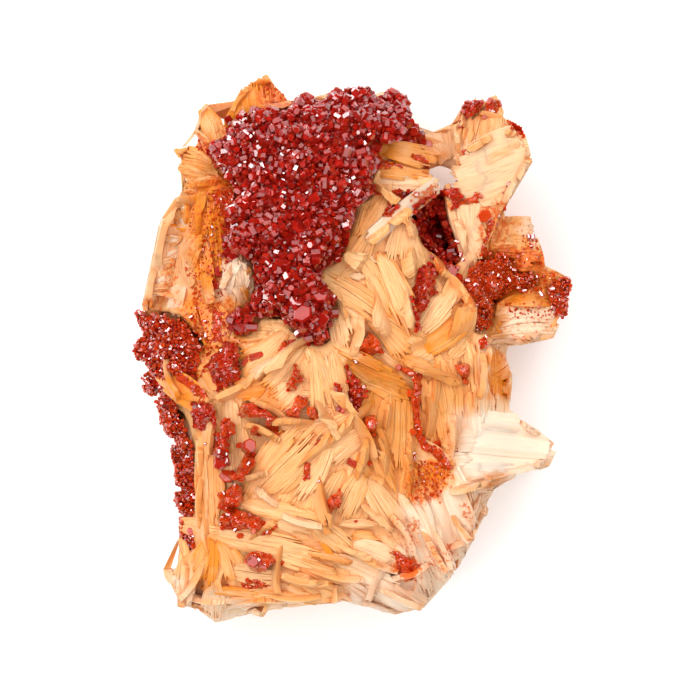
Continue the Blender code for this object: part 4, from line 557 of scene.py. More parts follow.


# Stains and painted shade.


def inside_share(x, y, outline, soft):
    """How far inside an outline each place lies, in plan: 1 well inside it and 0 well outside."""
    inside = np.zeros(len(x), dtype=bool)
    nearest = np.full(len(x), 1e9)
    for (ax, ay), (bx, by) in zip(outline, outline[1:] + outline[:1]):
        dx, dy = bx - ax, by - ay
        crossing = ax + (y - ay) * dx / (dy or 1e-9)
        inside ^= ((ay > y) != (by > y)) & (x < crossing)
        share = np.clip(((x - ax) * dx + (y - ay) * dy) / (dx * dx + dy * dy), 0, 1)
        nearest = np.minimum(nearest, np.hypot(x - ax - share * dx, y - ay - share * dy))
    return np.clip(0.5 + np.where(inside, nearest, -nearest) / soft, 0, 1)


def stains_and_shade_at(points):
    """The stains of the barite, with the painted shade of a few zones, at places in metres, with wavering edges."""
    x, y = points[:, 0] / MM, points[:, 1] / MM
    x, y = x + 0.5 * np.sin(1.7 * y + 1.3 * np.sin(1.1 * x)), y + 0.5 * np.sin(1.9 * x + 1.1 * np.sin(1.3 * y))
    found = np.zeros((len(STAINS_AND_SHADE), len(points)))
    for outline, soft, strengths in ZONES:
        corners = np.array(outline, dtype=float)
        low, high = corners.min(axis=0) - soft, corners.max(axis=0) + soft
        near = np.flatnonzero((x > low[0]) & (x < high[0]) & (y > low[1]) & (y < high[1]))
        if not len(near):
            continue
        share = inside_share(x[near], y[near], outline, soft)
        for row, strength in enumerate(strengths):
            if strength < 0:
                found[row, near] *= 1 + share * strength
            else:
                found[row, near] = np.maximum(found[row, near], share * strength)
    return dict(zip(STAINS_AND_SHADE, found))


# Ground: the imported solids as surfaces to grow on.


def tree_of(names):
    points = []
    faces = []
    for name in names:
        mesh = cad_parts[name].data
        first = len(points)
        points.extend(vertex.co.copy() for vertex in mesh.vertices)
        faces.extend([first + i for i in polygon.vertices] for polygon in mesh.polygons)
    return BVHTree.FromPolygons(points, faces)


GROUND = tree_of([MATRIX])
EVERYTHING = tree_of(sorted(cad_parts))
SKY = 0.2
DOWN = Vector((0, 0, -1))


def drop(x, y, trees=(EVERYTHING,)):
    """Highest place and normal where a plumb line over (x, y), in metres, meets the surfaces."""
    best = (None, None)
    for tree in trees:
        place, normal, _, _ = tree.ray_cast(Vector((x, y, SKY)), DOWN)
        if place is not None and (best[0] is None or place.z > best[0].z):
            best = (place, normal)
    return best


def foothold(x, y, trees):
    """Where something can stand at a place in mm: on the surfaces, or else at their nearest point."""
    place = drop(x * MM, y * MM, trees)[0]
    return place or EVERYTHING.find_nearest(Vector((x * MM, y * MM, 25 * MM)))[0]


class Relief:
    """Heights of the barite seen from above, on an even grid, with its corners softened."""
    step = 0.8 * MM
    softness = 1.3

    def __init__(self, tree):
        low, high = CAD_BOX
        self.low = np.array([low[0] - 3 * MM, low[1] - 3 * MM])
        across = int((high[0] - low[0] + 6 * MM) / self.step) + 2
        along = int((high[1] - low[1] + 6 * MM) / self.step) + 2
        heights = np.full((across, along), np.nan)
        for i in range(across):
            for j in range(along):
                place = drop(self.low[0] + i * self.step, self.low[1] + j * self.step, (tree,))[0]
                if place is not None:
                    heights[i, j] = place.z
        self.solid = ~np.isnan(heights)
        while np.isnan(heights).any():
            sides = np.stack([np.roll(heights, shift, axis) for axis in (0, 1) for shift in (-1, 1)])
            known = ~np.isnan(sides)
            mean = np.where(known, sides, 0).sum(axis=0) / np.maximum(known.sum(axis=0), 1)
            heights = np.where(np.isnan(heights) & known.any(axis=0), mean, heights)
        reach = np.arange(-4, 5)
        weights = np.exp(-(reach / self.softness) ** 2 / 2)
        weights /= weights.sum()
        soft = heights
        for axis in (0, 1):
            soft = sum(weight * np.roll(soft, shift, axis) for weight, shift in zip(weights, reach))
        self.soft = np.maximum(soft, heights - 0.5 * MM)
        self.raw = heights

    def read(self, grid, x, y):
        u = np.clip((np.asarray(x) - self.low[0]) / self.step, 0, grid.shape[0] - 1.001)
        v = np.clip((np.asarray(y) - self.low[1]) / self.step, 0, grid.shape[1] - 1.001)
        i, j = u.astype(int), v.astype(int)
        u, v = u - i, v - j
        near = grid[i, j] * (1 - u) + grid[i + 1, j] * u
        return near * (1 - v) + (grid[i, j + 1] * (1 - u) + grid[i + 1, j + 1] * u) * v

    def at(self, x, y):
        return self.read(self.soft, x, y)

    def normal(self, x, y):
        reach = 1.6 * MM
        slope_x = float(self.at(x + reach, y) - self.at(x - reach, y)) / (2 * reach)
        slope_y = float(self.at(x, y + reach) - self.at(x, y - reach)) / (2 * reach)
        return Vector((-slope_x, -slope_y, 1)).normalized()


RELIEF = Relief(GROUND)


# Barite blades.


def bent_spine(root, crest, tip):
    """A spine from root to tip that rises to the crest between them."""
    root, crest, tip = (np.array(point)[None, :] for point in (root, crest, tip))
    control = crest * 2 - (root + tip) / 2

    def spine(shares):
        s = shares[:, None]
        return root * (1 - s) ** 2 + control * 2 * s * (1 - s) + tip * s ** 2

    return spine


def laid_spine(start, end, lift):
    """A spine over the barite from one place to another, in mm, that follows the ground softly."""
    start, end = np.array(start) * MM, np.array(end) * MM
    shares = np.linspace(0, 1, 11)
    heights = RELIEF.at(*(start[:, None] + (end - start)[:, None] * shares))
    middle = np.median(heights)
    heights = np.clip(heights, middle - 3 * MM, middle + 3 * MM)
    bend = np.polyfit(shares, heights, 3 if np.hypot(*(end - start)) > 9 * MM else 2)

    def spine(s):
        flat = start[None, :] + (end - start)[None, :] * s[:, None]
        rise = lift * MM * np.interp(s, (0, 0.25, 0.7, 1), (0.1, 0.8, 1, 0.75))
        return np.column_stack([flat, np.polyval(bend, s) + rise])

    return spine


def outline_width(shape, shares):
    """Half width of a sheaf along its length, as a share of its greatest."""
    if shape == "fan":
        return 0.26 + 0.74 * np.clip(shares, 0, 1) ** 0.9
    if shape == "plate":
        return 0.86 + 0.14 * np.sin(math.pi * np.clip(shares, 0, 1))
    return 0.5 + 0.5 * np.sin(math.pi / 2 * np.clip(shares * 1.5, 0, 1)) - 0.12 * np.clip(shares, 0, 1) ** 3


# How much earlier than its middle a sheaf starts and stops at its sides, and how ragged its end is.
POINTED = {"leaf": (0.12, 0.34, 0.2), "fan": (0.0, 0.1, 0.2), "plate": (0.02, 0.04, 0.05)}
RIB_STEPS = (0.0, 0.22, 0.78)


def leaf(pile, chance, spine, up, width, shape, coat, pitch, relief=0.00006, slant=0.0,
         depth=0.0010, bow=0.0, arch=0.03, row_length=0.0014, most_rows=13):
    """One sheaf: thin blades grown side by side into a softly ribbed leaf, as a closed shape."""
    orange, cream, brown, edge_stain, tone = COATS[coat]
    if shape == "plate":
        relief, arch, pitch = relief * 0.25, arch * 0.4, pitch * 2
    blunt_root, blunt_tip, ragged = POINTED[shape]
    draws = np.random.default_rng(chance.getrandbits(32))
    ends_at = spine(np.array([0.0, 1.0]))
    span = ends_at[1] - ends_at[0]
    length = float(np.linalg.norm(span))
    along = span / length
    across = np.cross(along, np.array(up))
    across /= np.linalg.norm(across)
    up = np.cross(across, along)
    ribs = max(4, round(width / pitch))
    thick = draws.uniform(0.4, 1.6, ribs)
    edges = np.concatenate([[0.0], np.cumsum(thick)]) / thick.sum() * 2 - 1
    off_centre = np.abs((edges[:-1] + edges[1:]) / 2 + draws.uniform(-0.25, 0.25)) ** 1.5
    begins = blunt_root * off_centre + draws.uniform(0.0, 0.06, ribs)
    ends = 1.0 - blunt_tip * off_centre - draws.uniform(0.0, ragged, ribs)
    ends -= np.where(draws.random(ribs) < 0.08, draws.uniform(0.0, 0.2, ribs), 0.0)
    heights = (draws.normal(0.0, 1.0, ribs) + np.cumsum(draws.normal(0.0, 0.9, ribs)) * 0.4) * relief
    deep = draws.random(ribs) < 0.06
    gaps = np.where(deep, draws.uniform(0.7, 1.0, ribs), draws.uniform(0.0, 0.4, ribs))
    tones = draws.normal(0.0, 0.17, ribs) + tone
    oranges = np.clip(draws.normal(0.0, 0.10, ribs) + orange, 0, 1)
    columns = 3 * ribs + 1
    rib_of = np.minimum(np.arange(columns) // 3, ribs - 1)
    step_of = np.arange(columns) % 3
    t_of = edges[rib_of] + (edges[rib_of + 1] - edges[rib_of]) * np.array(RIB_STEPS)[step_of]
    t_of[-1] = 1.0
    gap_of = np.where(step_of == 0, gaps[rib_of], np.where(step_of == 2, 0.05, 0.0))
    sink_of = np.where((step_of == 0) & deep[rib_of], 5.0, 1.6) * gap_of * relief
    rows = int(np.clip(round(length / row_length), 5, most_rows))
    share = np.linspace(0, 1, rows)[:, None]
    s = begins[rib_of][None, :] + (ends - begins)[rib_of][None, :] * share
    middle = spine(s.ravel()).reshape(rows, columns, 3)
    half = outline_width(shape, s) * width / 2
    waver = 0.012 * width * np.sin(s * draws.uniform(5, 11) + draws.uniform(0, 6))
    side = t_of[None, :] * half + bow * np.sin(math.pi * s) * length + waver
    body = min(arch * width, 0.0008) * (1 - t_of[None, :] ** 2) + slant * half * t_of[None, :]
    rise = body + heights[rib_of][None, :] - sink_of[None, :] - 0.00015 * np.abs(share * 2 - 1) ** 6
    top = middle + across * side[..., None] + up * rise[..., None]
    loop = [(0, c) for c in range(columns)] + [(r, columns - 1) for r in range(1, rows)]
    loop += [(rows - 1, c) for c in range(columns - 2, -1, -1)] + [(r, 0) for r in range(rows - 2, 0, -1)]
    rim = np.array(loop)
    inward = across * (side[rim[:, 0], rim[:, 1]] * -0.2)[:, None]
    skirt = top[rim[:, 0], rim[:, 1]] - up * depth + inward
    centre = top.reshape(-1, 3).mean(axis=0) - up * depth * 1.3
    points = np.concatenate([top.reshape(-1, 3), skirt, centre[None, :]])
    first_skirt = rows * columns
    corner = (np.arange(rows - 1)[:, None] * columns + np.arange(columns - 1)[None, :]).ravel()
    faces = np.stack([corner, corner + 1, corner + columns + 1, corner + columns], axis=1).tolist()
    ring = len(loop)
    flat = (rim[:, 0] * columns + rim[:, 1]).tolist()
    for i in range(ring):
        j = (i + 1) % ring
        faces.append((flat[j], flat[i], first_skirt + i, first_skirt + j))
        faces.append((first_skirt + j, first_skirt + i, first_skirt + ring))
    shift = draws.uniform(0, 80)
    from_edge = (1 - np.abs(t_of[None, :])) * half / MM
    from_end = np.minimum(s - begins[rib_of], (ends[rib_of] - s)) * length / MM
    near_edge = np.exp(-np.maximum(0, np.minimum(from_edge, from_end * 1.2)) / 0.32)
    stained = oranges[rib_of][None, :] + edge_stain * near_edge

    def whole(values, below):
        return np.concatenate([np.broadcast_to(values, (rows, columns)).ravel(), np.full(ring + 1, below)])

    pile.add(points, faces, groove=whole(gap_of * (0.4 if shape == "plate" else 1.0), 0.4),
             grain_u=whole(t_of * width * 0.5 / MM + shift, shift), grain_v=whole(s * length / MM + shift, shift),
             tone=whole(tones[rib_of], tone - 0.2), orange=np.clip(whole(stained, max(orange, edge_stain)), 0, 1),
             cream=np.full(len(points), cream), brown=np.full(len(points), brown))


NEAR_ENOUGH = 1.8 * MM
PAST_EDGE = 0.35 * MM
GAP_REACH = 2.2 * MM
# Distances in mm from the middle of the gap: blades reach over it, fillers and flank blades keep off it.
GAP_BLADES = 4
GAP_CLEAR = 4.2
GAP_ROOM = 5
# A filler is pale where the stone is more creamy than this.
CREAMY = 0.3


def gap_distance(spot):
    """Distance in plan, in mm, from a place in metres to the middle of the gap."""
    return math.hypot(spot.x / MM - GAP_MIDDLE[0], spot.y / MM - GAP_MIDDLE[1])


def tuck_in(pile):
    """Draws points that stand too far off the solids back toward them, most of all past their outline."""
    for group in pile.points:
        x, y, z = group[:, 0], group[:, 1], group[:, 2]
        off = np.abs(z - RELIEF.read(RELIEF.raw, x, y)) > NEAR_ENOUGH * 0.7
        inner = RELIEF.read(RELIEF.solid.astype(float), x, y)
        for index in np.flatnonzero(off | (inner < 0.999) | (z < 0)):
            spot = Vector(group[index])
            place, _, _, distance = EVERYTHING.find_nearest(spot)
            over = EVERYTHING.ray_cast(Vector((spot.x, spot.y, SKY)), DOWN)[0]
            limit = PAST_EDGE if over is None else NEAR_ENOUGH
            if gap_distance(spot) < GAP_BLADES:
                limit = GAP_REACH
            if distance > limit and not (over is not None and over.z > spot.z):
                spot = place + (spot - place) * (limit / distance)
            spot.z = max(spot.z, 0.0)
            group[index] = spot


def lay_sheaves(pile, chance, rows, pitch):
    for start, end, width, lift, shape, coat in rows:
        middle_x, middle_y = (start[0] + end[0]) / 2 * MM, (start[1] + end[1]) / 2 * MM
        up = RELIEF.normal(middle_x, middle_y)
        leaf(pile, chance, laid_spine(start, end, lift * 0.6), up, width * 1.2 * MM, shape, coat, pitch,
             slant=chance.uniform(-0.12, 0.12), bow=chance.uniform(-0.03, 0.03))


def flat_distance(point, a, b):
    """Distance in plan from a point to a segment."""
    dx, dy = b[0] - a[0], b[1] - a[1]
    share = ((point[0] - a[0]) * dx + (point[1] - a[1]) * dy) / (dx * dx + dy * dy)
    share = max(0.0, min(1.0, share))
    return math.hypot(point[0] - a[0] - share * dx, point[1] - a[1] - share * dy)


def nearest_row(x, y):
    """The row of the closest sheaf of the tables."""
    return min(CROWN_SHEAVES + PLATE_SHEAVES, key=lambda row: flat_distance((x, y), row[0], row[1]) - 0.3 * row[2])


def lines_at(points):
    """Across and along the closest sheaf of the tables, for the lines of the ground below."""
    x, y = points[:, 0] / MM, points[:, 1] / MM
    nearest = np.full(len(points), 1e9)
    across, along = np.zeros(len(points)), np.zeros(len(points))
    for (ax, ay), (bx, by), width, _, _, _ in CROWN_SHEAVES + PLATE_SHEAVES:
        dx, dy = bx - ax, by - ay
        length = math.hypot(dx, dy)
        share = np.clip(((x - ax) * dx + (y - ay) * dy) / length ** 2, 0, 1)
        gap = np.hypot(x - ax - share * dx, y - ay - share * dy) - 0.3 * width
        closer = gap < nearest
        nearest = np.where(closer, gap, nearest)
        across = np.where(closer, ((x - ax) * dy - (y - ay) * dx) / length, across)
        along = np.where(closer, ((x - ax) * dx + (y - ay) * dy) / length + points[:, 2] / MM * 0.7, along)
    return across, along


def inside(x, y, outline):
    return bool(inside_share(np.array([x]), np.array([y]), outline, 1e-6)[0] > 0.5)


def face_spots(names, chance, spacing, keep, tries):
    """Evenly spread places on the faces of some solids, with normals."""
    faces = []
    areas = []
    for name in names:
        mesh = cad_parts[name].data
        mesh.calc_loop_triangles()
        for triangle in mesh.loop_triangles:
            corners = [mesh.vertices[i].co for i in triangle.vertices]
            if keep(sum(corners, Vector()) / 3, triangle.normal):
                faces.append((corners, triangle.normal.copy()))
                areas.append(triangle.area)
    cells = {}
    spots = []
    for corners, normal in chance.choices(faces, weights=areas, k=tries):
        a, b = sorted((chance.random(), chance.random()))
        spot = corners[0] * a + corners[1] * (b - a) + corners[2] * (1 - b)
        cell = tuple(int(math.floor(c / spacing)) for c in spot)
        near = (cells.get((cell[0] + i, cell[1] + j, cell[2] + k), ())
                for i in (-1, 0, 1) for j in (-1, 0, 1) for k in (-1, 0, 1))
        if any((spot - other).length < spacing for group in near for other in group):
            continue
        cells.setdefault(cell, []).append(spot)
        spots.append((spot, normal))
    return spots


def open_to_air(spot, normal, reach=0.002):
    """True where nothing solid stands close in front of a place."""
    return EVERYTHING.ray_cast(spot + normal * 0.0001, normal, reach)[0] is None


def surfaces_of(names):
    """Trees of finished pieces, to set crystals on."""
    graph = bpy.context.evaluated_depsgraph_get()
    return [BVHTree.FromObject(bpy.data.objects[name], graph) for name in names]


# Vanadinite crystals.


def upright(chance, axis):
    """Turns a crystal's length onto an axis, with any spin."""
    spin = Matrix.Rotation(chance.uniform(0, math.pi / 3), 3, "Z")
    return axis.normalized().to_track_quat("Z", "Y").to_matrix() @ spin


def lying(chance, face, along=None):
    """Lays a crystal so that one of its long sides looks along the given way."""
    face = face.normalized()
    along = along or Vector((chance.uniform(-1, 1), chance.uniform(-1, 1), 0.01))
    z = (along - face * along.dot(face)).normalized()
    t = z.cross(face)
    x = face * math.cos(math.pi / 6) - t * 0.5
    y = face * 0.5 + t * math.cos(math.pi / 6)
    return Matrix((x, y, z)).transposed()


def shiny_way(chance):
    """A way of looking in which a face mirrors one of the lamps."""
    wobble = Vector((chance.gauss(0, 1), chance.gauss(0, 1), 0)) * 0.02
    return (chance.choices(GLINTS, weights=(5, 2, 2))[0] + wobble).normalized()


def tilted(chance, normal, least, most):
    """A way that leans off a normal by an angle between two limits, in radians."""
    sideways = Vector((chance.gauss(0, 1), chance.gauss(0, 1), chance.gauss(0, 1)))
    sideways = (sideways - normal * sideways.dot(normal)).normalized()
    angle = chance.uniform(least, most)
    return normal * math.cos(angle) + sideways * math.sin(angle)


def crystal(pile, chance, foot, turn, radius, length, tone, orange, squeeze=None, bevelled=True):
    """A six-sided crystal on its foot."""
    squeeze = squeeze or chance.uniform(0.85, 1.15)
    bevel = radius * chance.uniform(0.08, 0.26)
    levels = [(1.0, 0.0), (1.0, length)]
    if bevelled:
        levels = [(1.0, 0.0), (1.0, length - bevel), (1.0 - bevel / radius, length)]
    points = []
    for share, reach in levels:
        for side in range(6):
            angle = side * math.pi / 3
            local = Vector((
                radius * share * squeeze * math.cos(angle), radius * share / squeeze * math.sin(angle), reach))
            points.append(foot + turn @ local)
    top = 6 * (len(levels) - 1)
    faces = [[5, 4, 3, 2, 1, 0], [top + side for side in range(6)]]
    for level in range(0, top, 6):
        for side in range(6):
            after = (side + 1) % 6
            faces.append([level + side, level + after, level + 6 + after, level + 6 + side])
    # The foot gets the full groove mark, so the sides darken towards the bed: painted shade.
    pile.add(points, faces, tone=tone, orange=orange, groove=[1.0] * 6 + [0.1] * (len(points) - 6))


def grow_bed(pile, chance, spots, radii, orange, shiny=0.05, flat=0.12, tones=(-1, 1)):
    """Small crystals close together, that lean every way."""
    for spot, normal in spots:
        if not open_to_air(spot, normal, 0.0012):
            continue
        radius = chance.triangular(*radii) * MM
        redness = min(1.0, max(0.0, orange + chance.uniform(-0.2, 0.2)))
        tone = chance.uniform(*tones)
        kind = chance.random()
        if kind < shiny and normal.z > 0.3:
            radius *= 0.9
            turn = lying(chance, shiny_way(chance))
            length = radius * chance.uniform(0.9, 1.5)
            foot = spot + normal * radius * 0.1 - turn.col[2] * length / 2
            crystal(pile, chance, foot, turn, radius, length, tone, redness, 1.0, False)
            continue
        lean = (0.0, 0.3) if kind > 1 - flat else (0.35, 1.05)
        turn = upright(chance, tilted(chance, normal, *lean))
        length = radius * chance.uniform(1.2, 2.4)
        foot = spot - turn.col[2] * radius * 0.7 - normal * radius * 0.2
        crystal(pile, chance, foot, turn, radius, length, tone, redness, None, radius > 0.42 * MM)


def grow_prisms(pile, chance, spots, radii, orange):
    """Larger prisms that lie in the bed with a long side up, or stand out of it."""
    for spot, normal in spots:
        if not open_to_air(spot, normal, 0.0015):
            continue
        radius = chance.triangular(*radii) * MM
        tone = chance.uniform(-0.7, 1)
        redness = min(1.0, max(0.0, orange + chance.uniform(-0.1, 0.1)))
        if chance.random() < 0.72:
            face = SHEEN_WAY + Vector((chance.gauss(0, 0.10), chance.gauss(0, 0.10), 0))
            if chance.random() < 0.35:
                face = tilted(chance, (normal + Vector((0, 0, 1))).normalized(), 0.1, 0.6)
            turn = lying(chance, face)
            length = radius * chance.uniform(1.1, 2.2)
            foot = spot + normal * radius * 0.15 - turn.col[2] * length / 2
            crystal(pile, chance, foot, turn, radius, length, tone, redness, 1.0)
            continue
        turn = upright(chance, tilted(chance, normal, 0.1, 0.8))
        foot = spot - turn.col[2] * radius * 0.8
        crystal(pile, chance, foot, turn, radius, radius * chance.uniform(1.6, 2.8), tone, redness)


def mound(pile, chance, outline, height, facet, orange, trees):
    """Crystals grown together into one low mass with facets, as a closed shape."""
    draws = np.random.default_rng(chance.getrandbits(32))
    corners = np.array(outline, dtype=float)
    low, high = corners.min(axis=0) - 0.3, corners.max(axis=0) + 0.3
    grid = np.meshgrid(*(np.arange(a, b, 0.24) for a, b in zip(low, high)), indexing="ij")
    shape = grid[0].shape
    x, y = (axis.ravel() + draws.uniform(-0.05, 0.05, axis.size) for axis in grid)
    share = inside_share(x, y, outline, 1.1)
    seeds = draws.uniform(low, high, (max(4, int((high - low).prod() / facet ** 2)), 2))
    cell = np.hypot(x[:, None] - seeds[None, :, 0], y[:, None] - seeds[None, :, 1]).argmin(axis=1)
    slopes = draws.normal(0, 0.32, seeds.shape)
    facets = slopes[cell, 0] * (x - seeds[cell, 0]) + slopes[cell, 1] * (y - seeds[cell, 1])
    facets += draws.uniform(0.0, 0.5, len(seeds))[cell] * height
    ground = np.zeros(len(x))
    for index in range(len(x)):
        place = drop(x[index] * MM, y[index] * MM, trees)[0]
        ground[index] = np.nan if place is None else place.z / MM
    ground = np.where(np.isnan(ground), np.nanmedian(ground), ground).reshape(shape)
    for _ in range(3):
        padded = np.pad(ground, 1, mode="edge")
        ground = (padded[:-2, 1:-1] + padded[2:, 1:-1] + padded[1:-1, :-2] + padded[1:-1, 2:]) / 4
    top = ground.ravel() + height * np.clip(share * 2 - 0.9, -0.4, 1) * 0.8 + np.clip(facets, -0.5, 0.6)
    kept = (share > 0.36).reshape(shape)
    full = kept[:-1, :-1] & kept[1:, :-1] & kept[:-1, 1:] & kept[1:, 1:]
    number = np.arange(len(x)).reshape(shape)
    faces = np.stack([number[:-1, :-1], number[1:, :-1], number[1:, 1:], number[:-1, 1:]], axis=-1)[full].tolist()
    used = sorted({corner for face in faces for corner in face})
    if not used:
        return
    place_of = {corner: index for index, corner in enumerate(used)}
    faces = [[place_of[corner] for corner in face] for face in faces]
    edges = {(face[i], face[(i + 1) % 4]) for face in faces for i in range(4)}
    below = len(used)
    walls = [(b, a, a + below, b + below) for a, b in edges if (b, a) not in edges]
    floor_faces = [[corner + below for corner in reversed(face)] for face in faces]
    picked = np.array(used)
    upper = np.column_stack([x, y, top])[picked] * MM
    lower = upper.copy()
    lower[:, 2] = (ground.ravel()[picked] - 0.9) * MM
    tones = draws.uniform(-0.5, 1.0, len(seeds))[cell][picked]
    oranges = np.clip(orange + draws.normal(0, 0.12, len(seeds))[cell][picked], 0, 1)
    # The lower edge gets half the groove mark, so the walls darken downwards: painted shade.
    pile.add(np.concatenate([upper, lower]), faces + floor_faces + walls, tone=np.tile(tones, 2),
             orange=np.tile(oranges, 2), groove=np.repeat([0.0, 0.5], below))


def scatter_patch(pile, chance, outline, grade, trees):
    """A patch of crystals on the blades."""
    height, facet, orange, spacing, radii, (least, most) = GRADES[grade]
    if height:
        mound(pile, chance, outline, height, facet, orange, trees)
    corners = np.array(outline, dtype=float)
    low, high = corners.min(axis=0), corners.max(axis=0)
    taken = []
    for _ in range(int(14 * (high - low).prod() / spacing ** 2) + 20):
        x, y = chance.uniform(low[0], high[0]), chance.uniform(low[1], high[1])
        apart = spacing if height else spacing * chance.choice((0.4, 0.7, 1.5))
        if not inside(x, y, outline) or any(math.hypot(x - a, y - b) < apart for a, b in taken):
            continue
        place, _ = drop(x * MM, y * MM, trees)
        if place is None:
            continue
        taken.append((x, y))
        radius = chance.triangular(*radii) * MM
        stand = (chance.uniform(least, most) + height * 0.9) * MM
        redness = min(1.0, max(0.0, orange + chance.uniform(-0.15, 0.15)))
        tone = chance.uniform(-0.8, 1)
        if chance.random() < 0.3:
            turn = lying(chance, tilted(chance, Vector((0, 0, 1)), 0.1, 0.6))
            length = radius * chance.uniform(1.6, 2.6)
            foot = place + Vector((0, 0, stand - radius * 0.6)) - turn.col[2] * length / 2
            crystal(pile, chance, foot, turn, radius * 0.85, length, tone, redness, 1.0, False)
            continue
        turn = upright(chance, tilted(chance, Vector((0, 0, 1)), 0.05, 0.6))
        foot = place + Vector((0, 0, stand)) - turn.col[2] * radius * 2.4
        crystal(pile, chance, foot, turn, radius, radius * 2.4, tone, redness, None, radius > 0.42 * MM)


def base_copy(name, source, voxel, shrink, material, rough, rounds):
    """A smoothed copy of a solid, a little inside it, for what shows between blades and crystals."""
    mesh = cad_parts[source].data.copy()
    mesh.materials.clear()
    thing = bpy.data.objects.new(name, mesh)
    bpy.context.scene.collection.objects.link(thing)
    remesh = thing.modifiers.new("voxels", "REMESH")
    remesh.mode = "VOXEL"
    remesh.voxel_size = voxel
    smooth = thing.modifiers.new("soft", "SMOOTH")
    smooth.factor = 0.5
    smooth.iterations = rounds
    bpy.context.view_layer.update()
    done = bpy.data.meshes.new_from_object(thing.evaluated_get(bpy.context.evaluated_depsgraph_get()))
    bpy.data.objects.remove(thing)
    normals = [vertex.normal.copy() for vertex in done.vertices]
    for vertex, normal in zip(done.vertices, normals):
        if vertex.co.z < 0.6 * MM:
            vertex.co.z = 0.0
            continue
        bump = noise.noise(vertex.co * 700.0) * rough + noise.noise(vertex.co * 260.0) * rough
        vertex.co += normal * (bump - shrink)
        vertex.co.z = max(vertex.co.z, 0.0)
    done.shade_smooth()
    points = np.array([vertex.co for vertex in done.vertices])
    marks = {mark: np.zeros(len(points)) for mark in MARKS}
    marks.update(stains_and_shade_at(points))
    marks["groove"][:] = 0.3
    marks["grain_u"], marks["grain_v"] = lines_at(points)
    return mark_and_link(done, name, marks, material)


# Materials.


class Shader:
    """Wires up one node material by name."""

    def __init__(self, name):
        self.material = bpy.data.materials.get(name) or bpy.data.materials.new(name)
        self.material.use_nodes = True
        self.tree = self.material.node_tree
        self.tree.nodes.clear()
        self.output = self.node("ShaderNodeOutputMaterial")
        self.surface = self.node("ShaderNodeBsdfPrincipled")
        self.tree.links.new(self.surface.outputs[0], self.output.inputs[0])

    def node(self, kind, **settings):
        made = self.tree.nodes.new(kind)
        for key, value in settings.items():
            setattr(made, key, value)
        return made

    def link(self, source, target):
        self.tree.links.new(source, target)

    def mark(self, name):
        return self.node("ShaderNodeAttribute", attribute_name=name, attribute_type="GEOMETRY").outputs["Fac"]

    def fill(self, sockets, values):
        for socket, value in zip(sockets, values):
            if isinstance(value, bpy.types.NodeSocket):
                self.link(value, socket)
            else:
                socket.default_value = value

    def math(self, operation, first, second=0.0, clamp=False):
        made = self.node("ShaderNodeMath", operation=operation, use_clamp=clamp)
        self.fill(made.inputs, (first, second))
        return made.outputs[0]

    def mix(self, factor, first, second, blend="MIX"):
        made = self.node("ShaderNodeMix", data_type="RGBA", blend_type=blend)
        self.fill((made.inputs[0], made.inputs[6], made.inputs[7]), (factor, first, second))
        return made.outputs[2]

    def noise(self, scale, detail=3.0, vector=None, rough=0.55):
        made = self.node("ShaderNodeTexNoise")
        made.inputs["Scale"].default_value = scale
        made.inputs["Detail"].default_value = detail
        made.inputs["Roughness"].default_value = rough
        self.link(vector or self.node("ShaderNodeTexCoord").outputs["Object"], made.inputs["Vector"])
        return made.outputs["Fac"]

    def spread(self, value, low, high):
        made = self.node("ShaderNodeMapRange", clamp=True)
        self.link(value, made.inputs["Value"])
        made.inputs["From Min"].default_value = low
        made.inputs["From Max"].default_value = high
        return made.outputs["Result"]


